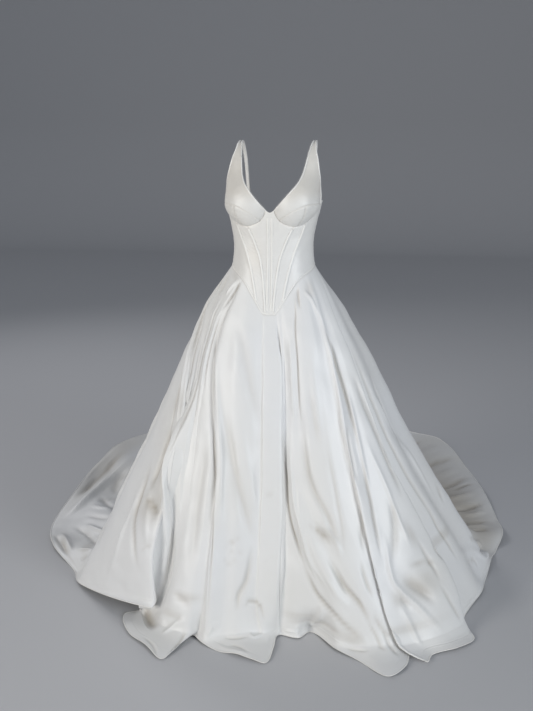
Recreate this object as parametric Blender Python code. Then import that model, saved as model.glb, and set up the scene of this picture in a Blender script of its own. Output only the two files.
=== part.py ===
"""Wedding dress: a boned satin bodice with cups and shoulder straps, on a pleated full skirt with a train.

Units are metres and +Z is up. The front looks along -Y and +X is the wearer's left.
Heights in the tables are above the floor that the hem lies on. The origin is midway between
the tops of the two shoulder straps, where the dress is held up.
"""

from collections import namedtuple

import bpy
import numpy as np

# Driving sizes
SHOULDER_HEIGHT = 1.495
LEAN = 0.0125
LEAN_FROM = 1.25
BODICE_WALL = 0.0022
SKIRT_WALL = 0.0020
CHANNEL_WALL = 0.0012
CHANNEL_LIFT = 0.0003
SEAM_HALF_GAP = 0.0002
WAIST_GAP = 0.0007
NORMAL_STEP = 0.002

# The figure under the bodice: a superellipse for each level. Past the bust the levels
# climb over the shoulder, so their height is a column of its own.
ROUNDNESS = 2.25
Level = namedtuple("Level", "climb height half_width front back")
LEVELS = [
    Level(0.960, 0.960, 0.158, 0.116, 0.125),
    Level(1.040, 1.040, 0.143, 0.108, 0.108),
    Level(1.120, 1.120, 0.126, 0.097, 0.093),
    Level(1.170, 1.170, 0.121, 0.092, 0.086),
    Level(1.210, 1.210, 0.123, 0.093, 0.087),
    Level(1.250, 1.250, 0.130, 0.098, 0.093),
    Level(1.300, 1.300, 0.141, 0.104, 0.102),
    Level(1.350, 1.350, 0.149, 0.105, 0.109),
    Level(1.400, 1.400, 0.153, 0.098, 0.112),
    Level(1.440, 1.438, 0.155, 0.082, 0.108),
    Level(1.480, 1.470, 0.156, 0.058, 0.092),
    Level(1.520, 1.490, 0.157, 0.026, 0.060),
    Level(1.545, 1.495, 0.157, 0.000, 0.026),
]
SHOULDER_CLIMB = 1.545

# Cups: they stand off the figure from a crease at the underwire up to the apex line, then fade softly
CUP_X = 0.083
CUP_HEIGHT = 1.314
CUP_DEPTH = 0.036
CUP_IN = 0.069
CUP_OUT = 0.0565
CUP_UP = 0.092
CUP_SIDE_FULLNESS = 0.8
CUP_LOWER_FULLNESS = 0.72
CUP_UPPER_FULLNESS = 1.5

# Seams of the bodice front, as places from the centre line and heights
Seam = namedtuple("Seam", "x height")
INNER_CHANNEL = [
    Seam(0.0125, 0.960),
    Seam(0.0130, 1.000),
    Seam(0.0165, 1.050),
    Seam(0.0215, 1.100),
    Seam(0.0300, 1.150),
    Seam(0.0470, 1.200),
    Seam(0.0700, 1.249),
]
OUTER_CHANNEL = [
    Seam(0.0365, 0.985),
    Seam(0.0400, 1.020),
    Seam(0.0460, 1.060),
    Seam(0.0560, 1.110),
    Seam(0.0700, 1.162),
    Seam(0.0900, 1.218),
    Seam(0.1050, 1.260),
]
UNDERWIRE = [
    Seam(0.0140, 1.2960),
    Seam(0.0195, 1.2810),
    Seam(0.0290, 1.2680),
    Seam(0.0460, 1.2560),
    Seam(0.0700, 1.2490),
    Seam(0.0880, 1.2510),
    Seam(0.1050, 1.2600),
    Seam(0.1180, 1.2720),
    Seam(0.1300, 1.2870),
    Seam(0.1395, 1.3040),
]
CUP_SEAM = [
    Seam(0.0290, 1.2680),
    Seam(0.0450, 1.2830),
    Seam(0.0650, 1.2990),
    Seam(0.0880, 1.3110),
    Seam(0.1080, 1.3150),
    Seam(0.1260, 1.3150),
    Seam(0.1415, 1.3140),
]
CUP_UPRIGHT = [Seam(0.0780, 1.2495), Seam(0.0870, 1.2800), Seam(0.0900, 1.3117)]
NECKLINE = [
    Seam(0.0140, 1.2960),
    Seam(0.0240, 1.3090),
    Seam(0.0530, 1.3480),
    Seam(0.0810, 1.3850),
    Seam(0.0915, 1.4080),
    Seam(0.0985, 1.4480),
    Seam(0.1035, 1.4950),
    Seam(0.1070, 1.5450),
]
ARMHOLE = [
    Seam(0.1415, 1.3140),
    Seam(0.1430, 1.3300),
    Seam(0.1420, 1.3500),
    Seam(0.1390, 1.3750),
    Seam(0.1350, 1.4050),
    Seam(0.1285, 1.4450),
    Seam(0.1215, 1.4850),
    Seam(0.1180, 1.5450),
]
NOTCH_HEIGHT = 1.288
NOTCH_BEND = Seam(0.0060, 1.2902)
WIRE_START = UNDERWIRE[0].x
WIRE_END = UNDERWIRE[-1].x
INNER_TO_OUTER = (INNER_CHANNEL[-1].x, OUTER_CHANNEL[-1].x)
CUP_TIP = 0.033

# Top edge from the side seam round to the centre back, by superellipse angle in degrees
Edge = namedtuple("Edge", "angle height")
UNDERARM = Edge(84.0, 1.312)
SIDE_TOP = Edge(90.0, 1.318)
SIDE_BACK_MID = Edge(110.0, 1.307)
SIDE_BACK_TOP = Edge(132.0, 1.285)
BACK_MID = Edge(155.0, 1.268)
BACK_TOP = Edge(180.0, 1.262)
WAISTLINE = 1.200

# Boning channels: narrow strips laid over the front seams and beside the centre seam
CHANNEL_HALF_WIDTH = 0.0031
CENTRE_CHANNEL_OFFSET = 0.0063
CHANNEL_ENDS = (0.0025, 0.0045)

# Back half of a shoulder strap, from the shoulder's top down to the back's top edge
StrapPlace = namedtuple("StrapPlace", "inward y height")
SHOULDER_X = 0.1125
STRAP_WIDTH = 0.0110
STRAP_TOP_GAP = 0.0004
STRAP_TURN = 0.55
STRAP_END = Edge(141.0, 1.284)
STRAP = [
    StrapPlace(0.000, 0.0000, 1.4950),
    StrapPlace(0.000, 0.0200, 1.4925),
    StrapPlace(0.001, 0.0500, 1.4760),
    StrapPlace(0.004, 0.0800, 1.4440),
    StrapPlace(0.009, 0.0980, 1.3950),
    StrapPlace(0.016, 0.1010, 1.3350),
]

# Points in the grid of each piece of the bodice
PIECE_ROWS = 11
FRONT_COLUMNS = 12
SIDE_COLUMNS = 9
BACK_COLUMNS = 7
CUP_ROWS = 5
CUP_COLUMNS = 9
TIP_COLUMNS = 3
UPPER_CUP_ROWS = 13
STRAP_ROWS = 14
FINE = 60

# Basque waist seam: its height at each azimuth from the front
Waist = namedtuple("Waist", "azimuth height")
WAIST = [
    Waist(0, 0.985),
    Waist(9, 0.987),
    Waist(12, 0.993),
    Waist(20, 1.018),
    Waist(28, 1.042),
    Waist(45, 1.086),
    Waist(62, 1.107),
    Waist(90, 1.122),
    Waist(130, 1.118),
    Waist(180, 1.108),
]

# Skirt outline: where its cone would meet the floor, by azimuth
Foot = namedtuple("Foot", "azimuth radius")
FEET = [
    Foot(-180, 0.72),
    Foot(-150, 0.74),
    Foot(-120, 0.74),
    Foot(-100, 0.70),
    Foot(-85, 0.668),
    Foot(-50, 0.475),
    Foot(-30, 0.42),
    Foot(-10, 0.35),
    Foot(9, 0.32),
    Foot(20, 0.34),
    Foot(40, 0.47),
    Foot(55, 0.575),
    Foot(70, 0.64),
    Foot(95, 0.70),
    Foot(112, 0.79),
    Foot(130, 0.82),
    Foot(150, 0.79),
    Foot(180, 0.72),
]
HIP_SPRING = 1.6
HIP_FADE = 0.085

# Places down the skirt: waist, hip, knee, foot, floor break, middle of the floor run, hem
DROPS = np.array([0.0, 0.16, 0.55, 0.90, 1.0, 1.25, 1.5])
BREAK_HEIGHT = 0.024
RUN_HEIGHT = 0.009
HEM_HEIGHT = 0.0032
BREAK_SHARE = 0.4
LEAST_RUN = 0.012

# A row for each fold line, front to back as the cloth runs round from the back seam by the
# wearer's right. Azimuths in degrees at five places, millimetres in from the cone at three,
# then the hem's distance from the axis and its lift off the floor in metres.
Fold = namedtuple("Fold", "name waist hip knee foot hem hip_in knee_in foot_in reach lift")
FOLDS = [
    Fold("back_seam", -180, -180, -180, -180, -180, 12, 30, 34, 1.780, 0.000),
    Fold("back_r1", -171, -170, -170, -170, -173, 0, 0, 0, 1.790, 0.012),
    Fold("back_r1_in", -163, -161, -160, -161, -166, 12, 34, 40, 1.770, 0.000),
    Fold("back_r2", -154, -151, -150, -151, -159, 0, 0, 0, 1.750, 0.012),
    Fold("back_r2_in", -145, -141, -140, -142, -152, 12, 34, 40, 1.715, 0.000),
    Fold("back_r3", -136, -131, -131, -133, -145, 0, 0, 0, 1.600, 0.012),
    Fold("back_r3_in", -127, -122, -122, -125, -137, 12, 34, 40, 1.405, 0.000),
    Fold("back_r4", -118, -113, -113, -117, -127, 0, 0, 0, 1.180, 0.014),
    Fold("side_r_in", -110, -105, -105, -109, -112, 10, 26, 34, 1.000, 0.000),
    Fold("side_r", -103, -99, -98, -100, -103, 0, 4, 6, 0.880, 0.010),
    Fold("panel_a_in", -98, -95, -91, -93, -92, 5, 10, 14, 0.715, 0.000),
    Fold("panel_a", -95, -92, -83, -84, -85, 0, 0, 0, 0.675, 0.006),
    Fold("panel_a_mid", -92, -88, -69, -67, -67.5, 0, 2, 0, 0.545, 0.042),
    Fold("panel_a_edge", -89, -84, -55, -50.5, -49.5, 0, -3, -5, 0.458, 0.068),
    Fold("cluster_in", -86, -81, -56.5, -53.5, -53.5, 9, 11, 12, 0.441, 0.056),
    Fold("cluster", -82, -76, -60, -58.5, -59, 2, 14, 20, 0.462, 0.032),
    Fold("cluster_deep", -76, -70, -61, -61.5, -63, 10, 25, 33, 0.469, 0.002),
    Fold("panel_d_edge", -69, -65, -55.5, -52, -63, 0, 16, 66, 0.512, 0.000),
    Fold("panel_d", -60, -61, -50, -45, -50, 2, 3, 12, 0.536, 0.004),
    Fold("panel_d_mid", -53, -58.5, -43, -38, -40, 3, 0, 0, 0.530, 0.006),
    Fold("panel_d_lobe", -48.5, -57, -36, -32.5, -30.5, 6, 3, 2, 0.542, 0.004),
    Fold("left_apex_in", -46, -55.5, -32.5, -28, -33, 7, 12, 12, 0.395, 0.004),
    Fold("panel_e_edge", -43.5, -52, -30, -25, -24, 0, -2, -3, 0.410, 0.004),
    Fold("panel_e_dip", -37, -41, -23.5, -18.5, -16, 2, 6, 7, 0.418, 0.000),
    Fold("panel_e", -29, -29, -17, -13, -8, 0, 0, 0, 0.424, 0.006),
    Fold("panel_e_front", -18, -16, -9, -8, -1, 0, 2, 2, 0.440, 0.006),
    Fold("strip_left_in", -8.6, -5.6, -2.8, -3.2, 4.2, 2, 5, 5, 0.448, 0.002),
    Fold("strip_left", -7, -4.0, -1.2, -1.4, 7.0, -2, -2, 0, 0.372, 0.002),
    Fold("strip_right", 9.5, 14.6, 13.8, 9.4, 8.8, -3, -4, -4, 0.306, 0.003),
    Fold("strip_right_in", 10.8, 15.2, 13.4, 10.4, 12, 5, 14, 14, 0.296, 0.000),
    Fold("front_gore", 13.5, 17.4, 15.2, 21, 21, 3, 12, 4, 0.324, 0.002),
    Fold("front_gore_in", 17, 19.5, 17.2, 31, 30, 5, 10, 10, 0.300, 0.000),
    Fold("front_roll", 23, 23.5, 21.5, 35.5, 33.5, 0, 0, 0, 0.420, 0.006),
    Fold("front_roll_in", 44, 31, 27.3, 40.5, 37.5, 5, 6, 7, 0.500, 0.000),
    Fold("panel_p", 46.5, 36, 33, 44, 40, 0, 0, 0, 0.612, 0.003),
    Fold("panel_p_mid", 51, 45, 42, 47.5, 47, 0, 3, 2, 0.606, 0.006),
    Fold("panel_f_in", 56, 53, 51, 53, 56, 6, 14, 18, 0.560, 0.000),
    Fold("panel_f_edge", 60, 55.4, 50, 48.8, 52.5, -1, -3, -5, 0.638, 0.006),
    Fold("panel_f_dip", 66, 58.5, 55.5, 57, 57, 4, 8, 9, 0.625, 0.002),
    Fold("panel_f", 73, 63.5, 62, 66, 63.5, 0, 0, 0, 0.672, 0.006),
    Fold("panel_f_end", 83, 69, 70.5, 77, 70.5, -2, -3, -5, 0.697, 0.004),
    Fold("panel_g_in", 87, 69.4, 70.5, 77.5, 77, 10, 20, 22, 0.645, 0.000),
    Fold("panel_g", 92, 76, 81, 93, 95, 1, 0, 0, 0.709, 0.004),
    Fold("panel_g_dip", 99, 89, 92, 100, 102, 5, 10, 14, 0.745, 0.000),
    Fold("panel_h", 109, 106, 106, 109, 111, 0, 0, 0, 0.817, 0.012),
    Fold("panel_h_in", 118, 119, 118, 118, 116, 10, 28, 34, 0.880, 0.000),
    Fold("back_l4", 126, 129, 128, 127, 121, 0, 0, 0, 0.965, 0.020),
    Fold("back_l3_in", 134, 137, 137, 135, 129, 12, 34, 40, 1.060, 0.000),
    Fold("back_l3", 143, 146, 146, 144, 138, 0, 0, 0, 1.195, 0.014),
    Fold("back_l2_in", 151, 154, 154, 153, 148, 12, 34, 40, 1.420, 0.000),
    Fold("back_l2", 159, 161, 161, 161, 158, 0, 0, 0, 1.700, 0.012),
    Fold("back_l1_in", 166, 167, 167, 167, 165, 10, 28, 34, 1.765, 0.000),
    Fold("back_l1", 173, 173, 173, 173, 172, 0, 0, 0, 1.785, 0.012),
]

# Skirt panels, each from one fold line to the next along the cloth
Panel = namedtuple("Panel", "name first last")
PANELS = [
    Panel("skirt_back_R", "back_seam", "side_r_in"),
    Panel("skirt_side_R", "side_r_in", "cluster_deep"),
    Panel("skirt_side_front_R", "cluster_deep", "left_apex_in"),
    Panel("skirt_front", "left_apex_in", "front_roll_in"),
    Panel("skirt_side_front_L", "front_roll_in", "panel_g_in"),
    Panel("skirt_side_L", "panel_g_in", "back_l3_in"),
    Panel("skirt_back_L", "back_l3_in", "back_seam"),
]
SPANS = 3
ROWS = np.array([0.0, 0.04, 0.09, 0.16, 0.30, 0.46, 0.62, 0.78, 0.90, 0.97, 1.03, 1.13, 1.30, 1.5])
PLACE_STEP = 0.04
DROP_STEP = 0.01
FLOOR_GAP = 0.0005

# Finishes: linear colour and roughness
Finish = namedtuple("Finish", "colour roughness")
SATIN = Finish((0.83, 0.80, 0.75), 0.42)
PIPING = Finish((0.86, 0.82, 0.74), 0.48)


def pchip(knots, values, at):
    """Smooth curve through the knots that never overshoots them, read at the given places."""
    knots, values, at = (np.asarray(each, float) for each in (knots, values, at))
    step = np.diff(knots)
    slope = np.diff(values) / step
    inner = np.zeros_like(slope[1:])
    same = slope[1:] * slope[:-1] > 0
    first, second = 2 * step[1:] + step[:-1], step[1:] + 2 * step[:-1]
    weighted = first[same] / slope[:-1][same] + second[same] / slope[1:][same]
    inner[same] = (first[same] + second[same]) / weighted
    tangent = np.concatenate([slope[:1], inner, slope[-1:]])
    place = np.clip(np.searchsorted(knots, at, side="right") - 1, 0, len(step) - 1)
    share = np.clip((at - knots[place]) / step[place], 0, 1)
    rest = 1 - share
    start = values[place] * (1 + 2 * share) * rest**2 + tangent[place] * step[place] * share * rest**2
    end = values[place + 1] * share**2 * (3 - 2 * share) - tangent[place + 1] * step[place] * share**2 * rest
    return start + end


def column(table, name):
    return np.array([getattr(row, name) for row in table], float)


def read(table, key, name, at):
    """One named column of a table, read smoothly at places of its key column."""
    return pchip(column(table, key), column(table, name), at)


def figure(theta, climb):
    """Point and level outward direction of the figure at superellipse angle theta and climb."""
    half = read(LEVELS, "climb", "half_width", climb)
    front, back = read(LEVELS, "climb", "front", climb), read(LEVELS, "climb", "back", climb)
    height = read(LEVELS, "climb", "height", climb)
    ahead = np.cos(theta) > 0
    power = 2 / ROUNDNESS
    depth = np.where(ahead, front, back) + 1e-5
    x = half * np.sign(np.sin(theta)) * np.abs(np.sin(theta)) ** power
    y = -depth * np.sign(np.cos(theta)) * np.abs(np.cos(theta)) ** power
    push_x = np.sign(x) * np.abs(x / half) ** (ROUNDNESS - 1) / half
    push_y = np.sign(y) * np.abs(y / depth) ** (ROUNDNESS - 1) / depth
    size = np.hypot(push_x, push_y)
    return x, y, height, push_x / size, push_y / size


def angle_at(x, climb):
    """Superellipse angle of the front place that is x from the centre line."""
    half = read(LEVELS, "climb", "half_width", climb)
    return np.sign(x) * np.arcsin(np.clip(np.abs(x) / half, 0, 1) ** (ROUNDNESS / 2))


def cup(x, height):
    """How far the cups stand off the figure: nothing at the underwire, most at the apex, fading above."""
    side = np.abs(x) - CUP_X
    across = side / np.where(side < 0, CUP_IN, CUP_OUT)
    depth = CUP_DEPTH * np.clip(1 - across**2, 0, 1) ** CUP_SIDE_FULLNESS
    wire = read(UNDERWIRE, "x", "height", np.abs(x))
    low = np.clip((height - wire) / (CUP_HEIGHT - wire), 0, 1)
    high = np.clip((height - CUP_HEIGHT) / CUP_UP, 0, 1)
    return depth * (1 - (1 - low) ** 2) ** CUP_LOWER_FULLNESS * (1 - high**2) ** CUP_UPPER_FULLNESS


def body(theta, climb):
    """Surface that the inside of the bodice lies on."""
    x, y, height, out_x, out_y = figure(theta, climb)
    off = np.where(np.cos(theta) > 0, cup(x, height), 0)
    return np.stack([x + off * out_x, y + off * out_y, height], -1)


def normals(surface, first, second, outward):
    """Unit normals of a surface of two numbers, from points a small step either side."""
    one, other = first[1], second[1]
    along = surface(first[0] + one, second[0]) - surface(first[0] - one, second[0])
    up = surface(first[0], second[0] + other) - surface(first[0], second[0] - other)
    found = np.cross(along, up) * outward
    return found / np.linalg.norm(found, axis=-1, keepdims=True)


def body_normals(theta, climb):
    return normals(body, (theta, NORMAL_STEP / 0.12), (climb, NORMAL_STEP), 1.0)


def waist_height(azimuth):
    turned = np.abs((np.asarray(azimuth, float) + 180) % 360 - 180)
    return read(WAIST, "azimuth", "height", turned)


def waist_theta(azimuth):
    """Superellipse angle of the figure on the waist seam at an azimuth in degrees."""
    height = waist_height(azimuth)
    half = read(LEVELS, "climb", "half_width", height)
    turn = np.radians(azimuth)
    front, back = read(LEVELS, "climb", "front", height), read(LEVELS, "climb", "back", height)
    depth = np.where(np.cos(turn) > 0, front, back)
    side, ahead = np.abs(np.sin(turn)) / half, np.abs(np.cos(turn)) / depth
    theta = np.arctan2(side ** (ROUNDNESS / 2), ahead ** (ROUNDNESS / 2))
    theta = np.where(np.cos(turn) > 0, theta, np.pi - theta)
    return theta * np.where(np.sin(turn) < 0, -1, 1)


def waist_climb(theta):
    """Height of the waist seam at a superellipse angle."""
    azimuths = np.linspace(0, 180, 361)
    return np.interp(np.abs(theta), waist_theta(azimuths), waist_height(azimuths))


FIGURE_SCALE = np.array([0.13, 1.0])


def even(count):
    return np.linspace(0, 1, count)


def line(points, count):
    """Places along a smooth line through (theta, climb) points, evenly spaced by their length."""
    points = np.asarray(points, float)
    length = np.concatenate([[0], np.cumsum(np.hypot(*(np.diff(points, axis=0) * FIGURE_SCALE).T))])
    at = even(count) * length[-1]
    return np.stack([pchip(length, points[:, 0], at), pchip(length, points[:, 1], at)], -1)


def front_line(seam, count):
    """A seam of the front, given by x and height, as theta and climb."""
    return line([(float(angle_at(np.array(p.x), np.array(p.height))), p.height) for p in seam], count)


def stretch(seam, low, high, count):
    """The part of a front seam between two distances from the centre line, as theta and climb."""
    path = front_line(seam, 400)
    x = figure(path[:, 0], path[:, 1])[0]
    kept = path[(x >= low - 1e-4) & (x <= high + 1e-4)]
    length = np.concatenate([[0], np.cumsum(np.hypot(*(np.diff(kept, axis=0) * FIGURE_SCALE).T))])
    at = even(count) * length[-1]
    return np.stack([np.interp(at, length, kept[:, 0]), np.interp(at, length, kept[:, 1])], -1)


def joined(*paths, count):
    """Lines that follow each other, as one line with evenly spaced points."""
    path = np.concatenate([paths[0]] + [each[1:] for each in paths[1:]])
    length = np.concatenate([[0], np.cumsum(np.hypot(*(np.diff(path, axis=0) * FIGURE_SCALE).T))])
    at = even(count) * length[-1]
    return np.stack([np.interp(at, length, path[:, 0]), np.interp(at, length, path[:, 1])], -1)


def coons(left, right, bottom, top):
    """Patch between four lines that meet at its corners, as grids of theta and climb (rows go up)."""
    across = even(len(bottom))[None, :, None]
    up = even(len(left))[:, None, None]
    sides = left[:, None] * (1 - across) + right[:, None] * across
    ends = bottom[None] * (1 - up) + top[None] * up
    corners = (bottom[0] * (1 - across) + bottom[-1] * across) * (1 - up) + (
        top[0] * (1 - across) + top[-1] * across
    ) * up
    return sides + ends - corners


def parted(points):
    """A grid of points drawn in square to its edges, which keeps it clear of its neighbours at the seams."""
    moved = points.copy()
    for axis in (0, 1):
        for edge, inner in ((0, 1), (-1, -2)):
            border = np.take(points, edge, axis)
            way = np.take(points, inner, axis) - border
            tangent = np.gradient(border, axis=0)
            tangent /= np.maximum(np.linalg.norm(tangent, axis=-1, keepdims=True), 1e-9)
            way -= tangent * (way * tangent).sum(-1, keepdims=True)
            way *= SEAM_HALF_GAP / np.maximum(np.linalg.norm(way, axis=-1, keepdims=True), 1e-9)
            if axis == 0:
                moved[edge] += way
            else:
                moved[:, edge] += way
    return moved


def leaned(height):
    """Shift from the tables' axis to the part's own: the body leans a little to its left above the waist."""
    share = np.clip((height - LEAN_FROM) / (SHOULDER_HEIGHT - LEAN_FROM), 0, 1)
    aside = LEAN * (share**1.5 - 1)
    return np.stack([aside, np.zeros_like(aside), np.full_like(aside, -SHOULDER_HEIGHT)], -1)


def wall(name, inner, outer, finish, parent, collection):
    """One closed wall of cloth between two matching grids of points, whose rows go up and columns to +X."""
    rows, columns = inner.shape[:2]
    index = np.arange(rows * columns).reshape(rows, columns)
    over = rows * columns
    back = index + over
    faces = [
        np.stack([index[:-1, :-1], index[1:, :-1], index[1:, 1:], index[:-1, 1:]], -1).reshape(-1, 4),
        np.stack([back[:-1, :-1], back[:-1, 1:], back[1:, 1:], back[1:, :-1]], -1).reshape(-1, 4),
    ]
    faces = [face for grid in faces for face in grid.tolist()]
    # Rims that face each other across a seam are split along the same diagonals.
    for low, high in ((index[0, :-1], index[0, 1:]), (index[:-1, -1], index[1:, -1])):
        faces.extend(np.stack([low, high, high + over], -1).tolist())
        faces.extend(np.stack([low, high + over, low + over], -1).tolist())
    for low, high in ((index[-1, :-1], index[-1, 1:]), (index[:-1, 0], index[1:, 0])):
        faces.extend(np.stack([high, low, high + over], -1).tolist())
        faces.extend(np.stack([low, low + over, high + over], -1).tolist())
    points = np.concatenate([inner.reshape(-1, 3), outer.reshape(-1, 3)])
    points = points + leaned(points[:, 2])
    mesh = bpy.data.meshes.new(name)
    mesh.from_pydata(points.tolist(), [], faces)
    mesh.validate()
    mesh.shade_smooth()
    mesh.set_sharp_from_angle(angle=np.radians(50))
    mesh.materials.append(finish)
    made = bpy.data.objects.new(name, mesh)
    made.parent = parent
    collection.objects.link(made)
    return made


def bodice_piece(grid):
    """Inner and outer points of a piece of the bodice over a grid of theta and climb."""
    theta, climb = grid[..., 0], grid[..., 1]
    surface = body(theta, climb)
    return surface, surface + body_normals(theta, climb) * BODICE_WALL


def mirrored(points):
    """The same grid on the other side, with its columns turned round so that they still run to +X."""
    return points[:, ::-1] * np.array([-1.0, 1.0, 1.0])


def waist_line(first, last, count):
    theta = np.linspace(first, last, count)
    return np.stack([theta, waist_climb(theta)], -1)


def meet_waist(seam):
    """Cuts a seam that runs down past the waist off where it meets it."""
    climb = np.linspace(seam[0].height, seam[-1].height, FINE)
    theta = angle_at(pchip(column(seam, "height"), column(seam, "x"), climb), climb)
    above = climb >= waist_climb(theta)
    return np.stack([theta[above], climb[above]], -1)


def edge_place(edge):
    return np.array([np.radians(edge.angle), edge.height])


def upright_line(edge):
    """A seam that goes straight up from the waist to a place on the top edge."""
    theta = np.radians(edge.angle)
    return line([(theta, waist_climb(theta)), (theta, WAISTLINE), (theta, edge.height)], PIECE_ROWS)


def front_grids(inner, outer):
    """Grids of the front pieces of the wearer's left, from the centre over two shaped seams to the side."""
    centre = line([(0, waist_climb(0.0)), (0, WAISTLINE), (0, NOTCH_HEIGHT)], PIECE_ROWS)
    notch = front_line([Seam(0.0, NOTCH_HEIGHT), NOTCH_BEND, UNDERWIRE[0]], FINE)
    side = np.radians(SIDE_TOP.angle)
    side_line = upright_line(SIDE_TOP)
    side_top = stretch(UNDERWIRE, INNER_TO_OUTER[1], WIRE_END, FINE)
    underarm = line([side_top[-1], edge_place(UNDERARM), edge_place(SIDE_TOP)], FINE)
    centre_top = joined(notch, stretch(UNDERWIRE, WIRE_START, INNER_TO_OUTER[0], FINE), count=FRONT_COLUMNS)
    return {
        "bodice_front_centre": coons(centre, inner, waist_line(0, inner[0, 0], FRONT_COLUMNS), centre_top),
        "bodice_front_side": coons(
            inner,
            outer,
            waist_line(inner[0, 0], outer[0, 0], SIDE_COLUMNS),
            stretch(UNDERWIRE, *INNER_TO_OUTER, SIDE_COLUMNS),
        ),
        "bodice_side": coons(
            outer,
            side_line,
            waist_line(outer[0, 0], side, SIDE_COLUMNS),
            joined(side_top, underarm, count=SIDE_COLUMNS),
        ),
    }


def back_grids():
    """Grids of the two back pieces of the wearer's left."""
    grids = {}
    for name, first, middle, last in (
        ("bodice_side_back", SIDE_TOP, SIDE_BACK_MID, SIDE_BACK_TOP),
        ("bodice_back", SIDE_BACK_TOP, BACK_MID, BACK_TOP),
    ):
        grids[name] = coons(
            upright_line(first),
            upright_line(last),
            waist_line(np.radians(first.angle), np.radians(last.angle), BACK_COLUMNS),
            line([edge_place(first), edge_place(middle), edge_place(last)], BACK_COLUMNS),
        )
    return grids


def cup_grids():
    """Grids of the wearer's left cup; its upper piece runs on into the strap's front half."""
    parting, parting_top = CUP_UPRIGHT[0].x, CUP_UPRIGHT[-1].x
    low_in = stretch(UNDERWIRE, CUP_TIP, parting, CUP_COLUMNS)
    low_out = stretch(UNDERWIRE, parting, WIRE_END, CUP_COLUMNS)
    seam_in = stretch(CUP_SEAM, CUP_TIP, parting_top, CUP_COLUMNS)
    seam_out = stretch(CUP_SEAM, parting_top, CUP_SEAM[-1].x, CUP_COLUMNS)
    upright = front_line(CUP_UPRIGHT, CUP_ROWS)
    upright = line([low_in[-1], upright[CUP_ROWS // 2], seam_in[-1]], CUP_ROWS)
    tip, end = line([low_in[0], seam_in[0]], CUP_ROWS), line([low_out[-1], seam_out[-1]], CUP_ROWS)
    # The upper cup's lower edge has the lower cup's own points, and the tip's beside the underwire.
    beside = stretch(UNDERWIRE, WIRE_START, CUP_SEAM[0].x, TIP_COLUMNS)
    lower_edge = np.concatenate([beside, seam_in, seam_out[1:]])
    shoulder = [Seam(NECKLINE[-1].x, SHOULDER_CLIMB), Seam(ARMHOLE[-1].x, SHOULDER_CLIMB)]
    neck, arm = front_line(NECKLINE, UPPER_CUP_ROWS), front_line(ARMHOLE, UPPER_CUP_ROWS)
    return {
        "cup_lower_inner": coons(tip, upright, low_in, seam_in),
        "cup_lower_outer": coons(upright, end, low_out, seam_out),
        "cup_upper": coons(neck, arm, lower_edge, front_line(shoulder, len(lower_edge))),
    }


def bodice_grids():
    """Grids of theta and climb for the pieces of the wearer's left, by name."""
    inner, outer = line(meet_waist(INNER_CHANNEL), PIECE_ROWS), line(meet_waist(OUTER_CHANNEL), PIECE_ROWS)
    return {**front_grids(inner, outer), **back_grids(), **cup_grids()}


def row_places(grid, distances):
    """Points of each row of a grid at the given distances along it, measured from its first column."""
    steps = np.linalg.norm(np.diff(grid, axis=1), axis=-1)
    length = np.concatenate([np.zeros((len(grid), 1)), np.cumsum(steps, axis=1)], 1)
    rows = [
        np.stack([np.interp(distances, length[i], grid[i, :, axis]) for axis in range(3)], -1)
        for i in range(len(grid))
    ]
    return np.array(rows)


def strip_points(pieces, kind):
    """Inner and outer points of the panels under a strip, read across the seam that it covers."""
    half = CHANNEL_HALF_WIDTH
    found = []
    for layer in (0, 1):
        if kind == "centre":
            distances = np.array([-half, 0.0, half]) + CENTRE_CHANNEL_OFFSET
            found.append(row_places(pieces["bodice_front_centre"][layer], distances))
            continue
        before, after = ("centre", "side") if kind == "inner" else ("side", None)
        near = pieces[f"bodice_front_{before}"][layer][:, ::-1]
        far = pieces["bodice_front_side" if after else "bodice_side"][layer]
        left, right = row_places(near, [half]), row_places(far, [0.0, half])
        found.append(np.concatenate([left, right], 1))
    return found


def channel(pieces, kind):
    """Inner and outer points of a boning channel: a narrow strip laid on its panels, short of their ends."""
    under, top = strip_points(pieces, kind)
    out = (top - under) / np.linalg.norm(top - under, axis=-1, keepdims=True)
    for edge, inner, short in ((0, 1, CHANNEL_ENDS[0]), (-1, -2, CHANNEL_ENDS[1])):
        way = top[inner] - top[edge]
        top[edge] += way / np.linalg.norm(way, axis=-1, keepdims=True) * short
    return top + out * CHANNEL_LIFT, top + out * (CHANNEL_LIFT + CHANNEL_WALL)


def strap_back(side):
    """Back half of a shoulder strap: a ribbon from the shoulder's top down to the top edge of the back."""
    end = body(*edge_place(STRAP_END))
    path = [(SHOULDER_X - place.inward, place.y, place.height) for place in STRAP]
    path = np.array([*path, (end[0], end[1], STRAP_END.height)])
    length = np.concatenate([[0], np.cumsum(np.linalg.norm(np.diff(path, axis=0), axis=1))])
    share = even(STRAP_ROWS)
    middle = np.stack([pchip(length, path[:, i], share * length[-1]) for i in range(3)], -1)
    run = np.gradient(middle, axis=0)
    run /= np.linalg.norm(run, axis=1, keepdims=True)
    level = np.stack([np.ones(STRAP_ROWS), STRAP_TURN * share**2, np.zeros(STRAP_ROWS)], -1)
    level -= run * (level * run).sum(1, keepdims=True)
    level /= np.linalg.norm(level, axis=1, keepdims=True)
    out = np.cross(level, run)
    half = STRAP_WIDTH / 2
    inner = np.stack([middle - level * half, middle, middle + level * half], 1)
    inner, outer = parted(inner), parted(inner + out[:, None] * BODICE_WALL)
    inner[0] += run[0] * STRAP_TOP_GAP
    outer[0] += run[0] * STRAP_TOP_GAP
    return (inner, outer) if side > 0 else (mirrored(inner), mirrored(outer))


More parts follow.
